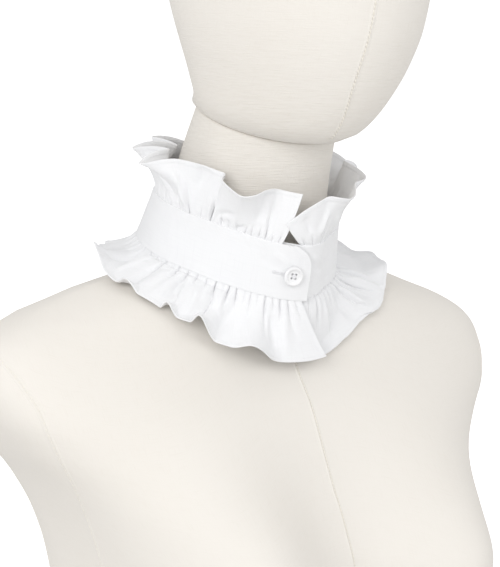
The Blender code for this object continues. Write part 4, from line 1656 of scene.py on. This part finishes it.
@dataclass
class DressForm:
    """The limbless display form: the padded body with its neck, and the egg head."""

    shape: CollarShape
    sides: int = 180
    head_sides: int = 144
    spacing: float = 4.5
    gap: float = 0.3
    rim: float = 1.6
    bust_apart: float = 88.0
    bust_height: float = -212.0
    bust_fullness: float = 50.0
    bust_spread: float = 56.0
    bust_rise: float = 74.0
    bust_fall: float = 52.0
    bust_begins: float = 10.0
    bust_ease: float = 60.0

    def heights(self, rows: Sequence[Section]) -> np.ndarray:
        """The levels of the finished form, every row of the table among them."""
        finer = []
        for low, high in zip(rows[:-1], rows[1:]):
            steps = max(1, round((high.height - low.height) / self.spacing))
            finer += [low.height + (high.height - low.height) * k / steps for k in range(steps)]
        finer.append(rows[-1].height)
        return np.array(finer)

    def rings(self, rows: Sequence[Section], sides: int) -> np.ndarray:
        """The points of every level, from the front round by the wearer's left.

        Args:
            rows: The table of sections.
            sides: How many points in a ring.

        Returns:
            A grid of points from the collar's reference point, in millimetres.
        """
        height = self.heights(rows)[:, None]
        turn = 2.0 * pi * np.arange(sides)[None, :] / sides
        power = read(rows, "height", "power", height)
        across = np.abs(np.sin(turn)) ** (2.0 / power) * np.sign(np.sin(turn))
        along = np.abs(np.cos(turn)) ** (2.0 / power) * np.sign(np.cos(turn))
        front = read(rows, "height", "front", height)
        back = read(rows, "height", "back", height)
        ahead = along * np.where(along > 0, front, back)
        tilt = np.radians(read(rows, "height", "tilt", height))
        x = across * read(rows, "height", "half_width", height)
        y = read(rows, "height", "middle", height) - ahead * np.cos(tilt)
        return np.stack((x, y, height - ahead * np.sin(tilt)), axis=-1)

    def bust(self, points: np.ndarray) -> np.ndarray:
        """The body's points with its front moved out over the rounded bust."""
        x, y, z = (points[..., k] for k in range(3))
        reach = np.where(z > self.bust_height, self.bust_rise, self.bust_fall)
        level = np.exp(-((z - self.bust_height) / reach) ** 2)
        sides = np.exp(-((x - self.bust_apart) / self.bust_spread) ** 2)
        sides += np.exp(-((x + self.bust_apart) / self.bust_spread) ** 2)
        facing = ease((self.bust_begins - y) / self.bust_ease)
        return np.stack((x, y - self.bust_fullness * level * sides * facing, z), axis=-1)

    def rounded(self, rings: np.ndarray, at_top: bool) -> np.ndarray:
        """Round the last edge of a form's open end, and close it a little inwards."""
        if not at_top:
            rings = rings[::-1]
        edge = rings[-1]
        middle = edge.mean(axis=0)
        inward = unit(middle - edge)
        below = unit(rings[-2] - edge)
        extra = []
        for angle in RIM_ANGLES:
            inset = self.rim * (1.0 - cos(radians(angle)))
            drop = self.rim * (1.0 - sin(radians(angle)))
            extra.append(edge + inward * inset + below * drop)
        rounded = np.concatenate((rings[:-1], np.stack(extra)))
        return rounded if at_top else rounded[::-1]

    def skin(self, name: str, rings: np.ndarray) -> bpy.types.Object:
        """A closed skin through rings of points, with its weave's flat places."""
        points = self.shape.in_frame(rings)
        levels, sides = points.shape[:2]
        opened = np.concatenate((points, points[:, :1]), axis=1)
        around = running_length(opened, 1)
        half = around[:, sides // 2][:, None]
        around = np.where(np.arange(sides + 1)[None, :] <= sides // 2, around, around - 2.0 * half)
        upward = running_length(opened, 0)
        faces = grid_faces(levels, sides, around=True)
        faces.append(tuple(range(sides))[::-1])
        faces.append(tuple((levels - 1) * sides + k for k in range(sides)))
        flat = np.stack((around, upward), axis=-1)[:, :sides].reshape(-1, 2)
        return make_piece(name, points.reshape(-1, 3), faces, flat)

    def build(self) -> tuple[bpy.types.Object, bpy.types.Object]:
        """Make the body and the head."""
        body = self.rounded(self.bust(self.rings(BODY_SECTIONS, self.sides)), at_top=True)
        neck = BODY_SECTIONS[-1]
        tilt = radians(neck.tilt)
        seat = np.array((0.0, neck.middle - self.gap * sin(tilt), neck.height + self.gap * cos(tilt)))
        head = self.rounded(self.rings(HEAD_SECTIONS, self.head_sides) + seat, at_top=False)
        return self.skin("form_body", body), self.skin("form_egg_head", head)


@dataclass
class FormSeam:
    """A sewn seam that runs over the form's surface."""

    name: str
    guides: tuple[Guide, ...]
    style: SeamStyle
    half_width: float = 2.6
    ridge: float = 0.3
    groove: float = 0.35
    groove_width: float = 0.5
    buried: float = 0.7
    shoulder: float = 0.66
    crown: float = 0.4
    foot: float = 0.25
    groove_side: float = 0.6
    step: float = 2.0
    smoothing: int = 3

    def mirrored(self, name: str) -> "FormSeam":
        """The same seam on the form's other side."""
        guides = tuple(Guide(-guide.side, guide.depth, guide.height) for guide in self.guides)
        return FormSeam(name, guides, self.style)

    def path(self, shape: CollarShape, tree: BVHTree) -> tuple[np.ndarray, np.ndarray]:
        """The seam's line on the form, and the way the form faces along it."""
        rough = np.array(self.guides, dtype=float)
        length = running_length(rough, 0)
        at = np.linspace(0.0, length[-1], max(8, int(length[-1] / self.step)))
        curve = np.stack([smooth(length, rough[:, k], at) for k in range(3)], axis=-1)
        places = []
        facing = []
        for place in shape.in_frame(curve):
            nearest, normal, _, _ = tree.find_nearest(Vector(place))
            places.append(nearest)
            facing.append(normal)
        line = np.array(places)
        smoothed = np.array(facing)
        for _ in range(self.smoothing):
            smoothed[1:-1] = smoothed[:-2] + 2.0 * smoothed[1:-1] + smoothed[2:]
            line[1:-1] = (line[:-2] + 2.0 * line[1:-1] + line[2:]) / 4.0
            smoothed = unit(smoothed)
        return line, smoothed

    def profile(self) -> np.ndarray:
        """The seam's cross-section, sideways and outwards, from one side to the other."""
        one_side = np.array((
            (self.half_width, -self.foot), (self.shoulder * self.half_width, 0.5 * self.ridge),
            (self.crown * self.half_width, self.ridge), (self.groove_width, self.ridge),
            (0.5 * self.groove_width, self.ridge - self.groove_side * self.groove),
        ))
        middle = np.array(((0.0, self.ridge - self.groove),))
        other = one_side[::-1] * np.array((-1.0, 1.0))
        under = np.array(((-self.half_width, -self.buried), (self.half_width, -self.buried)))
        return np.concatenate((one_side, middle, other, under))

    def ribbon(self, line: np.ndarray, facing: np.ndarray) -> bpy.types.Object:
        """The two folded edges that meet in the seam, as one closed piece."""
        profile = self.profile()
        run = unit(np.gradient(line, axis=0))
        sideways = unit(np.cross(run, facing))
        points = (line[:, None] + sideways[:, None] * profile[None, :, :1] * MM
                  + facing[:, None] * profile[None, :, 1:] * MM)
        count, sides = points.shape[:2]
        faces = [tuple(reversed(face)) for face in grid_faces(count, sides, around=True)]
        faces.append(tuple(range(sides)))
        faces.append(tuple((count - 1) * sides + k for k in range(sides))[::-1])
        across = running_length(points, 1)
        flat = np.stack((across, np.broadcast_to(running_length(line, 0)[:, None], across.shape)), axis=-1)
        piece = make_piece(self.name, points.reshape(-1, 3), faces, flat.reshape(-1, 2))
        shape = bmesh.new()
        shape.from_mesh(piece.data)
        bmesh.ops.recalc_face_normals(shape, faces=shape.faces)
        shape.to_mesh(piece.data)
        shape.free()
        return piece

    def stitches(self, line: np.ndarray, facing: np.ndarray) -> tuple[StitchRow, float, float]:
        """The seam's stitches, with their length and their thread's radius."""
        stitch = SEAM_STITCHES[self.style]
        raised = line + facing * stitch.lift * MM
        row = StitchRow.along_line(raised, facing, stitch.pitch, slant=stitch.slant)
        return row, stitch.length, stitch.radius


@dataclass
class Studio:
    """A plain pale floor, soft light and the camera at the photograph's angle."""

    shape: CollarShape
    azimuth: float = -38.0
    elevation: float = 6.8
    roll: float = 1.2
    distance: float = 1500.0
    focal_px: float = 2250.0
    aim_across: float = 5.4
    aim_up: float = -33.0
    sensor: float = 36.0
    nearest_seen: float = 0.05
    farthest_seen: float = 60.0
    room_light: float = 0.74
    room_seen: float = 1.15
    floor_half: float = 9.0
    floor_seen: float = 0.7
    floor_roughness: float = 0.9

    def axes(self) -> tuple[Vector, Vector, Vector]:
        """The camera's right, up and backward directions, before its small roll."""
        turn = radians(self.azimuth)
        lift = radians(self.elevation)
        backward = Vector((sin(turn) * cos(lift), -cos(turn) * cos(lift), sin(lift)))
        right = Vector((cos(turn), sin(turn), 0.0))
        return right, backward.cross(right), backward

    def camera(self) -> bpy.types.Object:
        """Make the scene's camera; its long side takes the sensor's width."""
        right, up, backward = self.axes()
        roll = radians(self.roll)
        rolled_right = right * cos(roll) + up * sin(roll)
        rolled_up = up * cos(roll) - right * sin(roll)
        place = Matrix((rolled_right, rolled_up, backward)).transposed().to_4x4()
        origin = Vector(self.shape.in_frame(np.zeros(3)))
        offset = rolled_right * self.aim_across + rolled_up * self.aim_up + backward * self.distance
        place.translation = origin + offset * MM
        data = bpy.data.cameras.new("photo_camera")
        data.sensor_width = self.sensor
        data.lens = self.focal_px / max(FRAME_WIDTH_PX, FRAME_HEIGHT_PX) * self.sensor
        data.clip_start = self.nearest_seen
        data.clip_end = self.farthest_seen
        camera = bpy.data.objects.new("photo_camera", data)
        camera.matrix_world = place
        bpy.context.scene.collection.objects.link(camera)
        bpy.context.scene.camera = camera
        return camera

    def area_light(self, lamp: Lamp) -> None:
        """A square soft light that looks at the collar."""
        right, up, backward = self.axes()
        direction = backward * lamp.backward + right * lamp.right + up * lamp.up
        data = bpy.data.lights.new(lamp.name, "AREA")
        data.shape = "SQUARE"
        data.size = lamp.size
        data.energy = lamp.power
        light = bpy.data.objects.new(lamp.name, data)
        target = Vector(self.shape.in_frame(np.zeros(3)))
        light.location = target + direction.normalized() * lamp.away
        light.rotation_euler = direction.to_track_quat("Z", "Y").to_euler()
        bpy.context.scene.collection.objects.link(light)

    def lights(self) -> None:
        """A large soft key from the photograph's upper left, and a weaker one from its right."""
        for lamp in LAMPS:
            self.area_light(lamp)

    def world(self) -> None:
        """White surroundings: full white to the camera, softer as light."""
        world = bpy.data.worlds.new("white_room")
        world.use_nodes = True
        bench = NodeBench(world.node_tree)
        background = world.node_tree.nodes["Background"]
        background.inputs["Color"].default_value = WHITE
        seen = bench.add("ShaderNodeLightPath").outputs["Is Camera Ray"]
        strength = bench.between(seen, 0.0, 1.0, self.room_light, self.room_seen)
        bench.feed(background.inputs["Strength"], strength)
        bpy.context.scene.world = world

    def floor(self) -> bpy.types.Object:
        """A wide pale floor that the form stands on."""
        half = self.floor_half
        corners = np.array(((-half, -half, 0.0), (half, -half, 0.0), (half, half, 0.0), (-half, half, 0.0)))
        floor = make_piece("pale_floor", corners, [(0, 1, 2, 3)])
        material, bench, shader = new_material("pale_floor")
        body = bench.add("ShaderNodeTexCoord").outputs["Object"]
        tone = bench.between(bench.noise(body, 3.0), 0.3, 0.7)
        bench.feed(shader.inputs["Base Color"], bench.mixed(tone, (0.80, 0.80, 0.80), (0.83, 0.83, 0.83)))
        shader.inputs["Roughness"].default_value = self.floor_roughness
        shader.inputs["Emission Color"].default_value = WHITE
        seen = bench.add("ShaderNodeLightPath").outputs["Is Camera Ray"]
        bench.feed(shader.inputs["Emission Strength"], bench.math("MULTIPLY", seen, self.floor_seen))
        floor.data.materials.append(material)
        return floor

    def build(self) -> None:
        """Set up the camera, light, surroundings and floor."""
        self.camera()
        self.lights()
        self.world()
        self.floor()
        bpy.context.scene.view_settings.view_transform = "Standard"


UPPER_RUFFLE_FLAT = (0.034, 0.65)
LOWER_RUFFLE_FLAT = (0.043, 0.81)

CENTRE_FRONT = (
    Guide(0, -51, -20), Guide(0, -60, -80), Guide(0, -74, -105), Guide(0, -90, -131),
    Guide(0, -112, -174), Guide(0, -124, -200), Guide(0, -120, -235), Guide(0, -104, -275),
    Guide(0, -90, -315), Guide(0, -82, -334),
)
CENTRE_BACK = (
    Guide(0, 62, -16), Guide(0, 76, -50), Guide(0, 85, -86), Guide(0, 84, -125),
    Guide(0, 79, -175), Guide(0, 76, -235), Guide(0, 76, -290), Guide(0, 72, -334),
)
SIDE_PANEL_FRONT = (
    Guide(-198, -8, -63), Guide(-192, -27, -78), Guide(-184, -42, -99), Guide(-170, -45, -129),
    Guide(-143, -37, -175), Guide(-135, -36, -205), Guide(-127, -34, -245), Guide(-120, -32, -295),
    Guide(-114, -30, -334),
)
SIDE_PANEL_BACK = (
    Guide(-198, -8, -63), Guide(-193, 24, -80), Guide(-184, 40, -101), Guide(-168, 44, -131),
    Guide(-142, 38, -175), Guide(-131, 36, -205), Guide(-123, 34, -245), Guide(-117, 32, -295),
    Guide(-112, 30, -334),
)
HEAD_SEAM = (
    Guide(-3, -94, 68), Guide(-5, -102, 76), Guide(-9, -114, 87), Guide(-13, -126, 105),
    Guide(-14, -134, 119), Guide(-14, -140, 133), Guide(-14, -146, 155), Guide(-14, -149, 195),
    Guide(-13, -141, 245), Guide(-10, -112, 287), Guide(-6, -48, 314), Guide(-2, 14, 303),
    Guide(0, 50, 262), Guide(0, 53, 200), Guide(0, 42, 150), Guide(0, 14, 110), Guide(0, 4, 92),
)


def dress(piece: bpy.types.Object, material: bpy.types.Material, slot: str, *nodes: str) -> None:
    """Give a piece its material, make it ride on the root, and hide the solids that it stands for.

    Args:
        piece: The finished piece.
        material: Its material.
        slot: The record's slot for its finish; not used.
        nodes: The solids that it stands for.
    """
    piece.data.materials.clear()
    piece.data.materials.append(material)
    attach(piece, ROOT)
    if nodes:
        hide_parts(*nodes)
    log.info("%s: %d triangles", piece.name, triangles_of(piece))


def build_form(shape: CollarShape, maker: StitchMaker, effects: Effects) -> BVHTree:
    """Build and dress the form with its seams.

    Args:
        shape: The collar's frame, which the form is measured from.
        maker: Lays the seams' stitches.
        effects: The shared shader groups.

    Returns:
        A search tree over the body's surface.
    """
    linen = Linen().make(effects)
    seam_thread = Thread("cream_seam_thread", (0.86, 0.82, 0.74)).make(effects)
    body, head = DressForm(shape).build()
    body_tree = surface_tree(body)
    head_tree = surface_tree(head)
    dress(body, linen, "canvas", "form_torso")
    dress(head, linen, "canvas", "form_head")
    front_panel = FormSeam("side_seam_right_front", SIDE_PANEL_FRONT, SeamStyle.PRICKED)
    back_panel = FormSeam("side_seam_right_back", SIDE_PANEL_BACK, SeamStyle.PRICKED)
    seams = (
        (FormSeam("centre_front_seam", CENTRE_FRONT, SeamStyle.RAISED), body_tree),
        (FormSeam("centre_back_seam", CENTRE_BACK, SeamStyle.RAISED), body_tree),
        (front_panel, body_tree),
        (back_panel, body_tree),
        (front_panel.mirrored("side_seam_left_front"), body_tree),
        (back_panel.mirrored("side_seam_left_back"), body_tree),
        (FormSeam("head_seam", HEAD_SEAM, SeamStyle.ROPE), head_tree),
    )
    for seam, tree in seams:
        line, facing = seam.path(shape, tree)
        dress(seam.ribbon(line, facing), linen, "canvas")
        row, length, radius = seam.stitches(line, facing)
        dress(maker.lay(seam.name + "_stitches", row, length, radius, seam_thread), seam_thread, "canvas")
    return body_tree


def ruffles(shape: CollarShape) -> dict[str, Ruffle]:
    """Both ruffles by the name of the node that each replaces.

    Args:
        shape: The collar's frame.

    Returns:
        The ruffle for each node.
    """
    upper = Ruffle(
        "upper_ruffle", shape, UPPER_FOLDS, UPPER_REACH, UPPER_GATHERS, UPPER_UNDER_GATHERS,
        UPPER_GATHERING, UPPER_CREASES, UPPER_PUFFS,
        start=18.5, stop=367.0, width=33.0, seam=28.4, root_pitch=98.0,
        outward=Outward.OPPOSITE, flat=UPPER_RUFFLE_FLAT, seed=11)
    lower = Ruffle(
        "lower_ruffle", shape, LOWER_FOLDS, LOWER_REACH, LOWER_GATHERS, LOWER_UNDER_GATHERS,
        LOWER_GATHERING, LOWER_CREASES, LOWER_PUFFS,
        start=2.5, stop=376.0, width=42.0, seam=-7.95, root_pitch=-76.0,
        outward=Outward.SAME, flat=LOWER_RUFFLE_FLAT, seed=23)
    return {"ruffle_top": upper, "ruffle_bottom": lower}


def build_collar(shape: CollarShape, body_tree: BVHTree, maker: StitchMaker, effects: Effects) -> None:
    """Build and dress the band, both ruffles, the button and their stitches.

    Args:
        shape: The collar's frame.
        body_tree: The form's surface, which the cloth keeps clear of.
        maker: Lays the stitches.
        effects: The shared shader groups.
    """
    poplin = Cotton().make(effects)
    white_thread = Thread("white_sewing_thread", (0.84, 0.84, 0.86)).make(effects)
    band = Band(shape)
    band_piece, _ = band.build(body_tree)
    dress(band_piece, poplin, "cotton", "band")
    for node, ruffle in ruffles(shape).items():
        piece, middle = ruffle.build(body_tree)
        dress(piece, poplin, "cotton", node)
        row = StitchRow.joined([ruffle.hem_stitches(middle, face) for face in (1.0, -1.0)])
        hem = maker.lay(ruffle.name + "_hem_stitches", row, HEM_STITCH_LENGTH, HEM_STITCH_RADIUS,
                        white_thread)
        dress(hem, white_thread, "cotton")
    button = Button(band)
    dress(button.build(), Resin().make(effects), "button_resin", "button")
    strand = button.hole_circle + STRAND_OVERLAP
    sewn = maker.lay("button_thread", button.thread_rows(), strand, button.strand_radius, white_thread)
    dress(sewn, white_thread, "cotton")
    hole = Buttonhole(band, surface_tree(band_piece))
    worked = maker.lay("buttonhole_stitches", hole.rows(), hole.stitch_length, hole.stitch_radius,
                       white_thread)
    dress(worked, white_thread, "cotton")


def main() -> None:
    """Build every piece in order and report each one."""
    logging.basicConfig(level=logging.INFO, format="%(name)s: %(message)s")
    shape = CollarShape()
    Studio(shape).build()
    effects = Effects()
    maker = StitchMaker()
    body_tree = build_form(shape, maker, effects)
    build_collar(shape, body_tree, maker, effects)


if __name__ == "__main__":
    main()
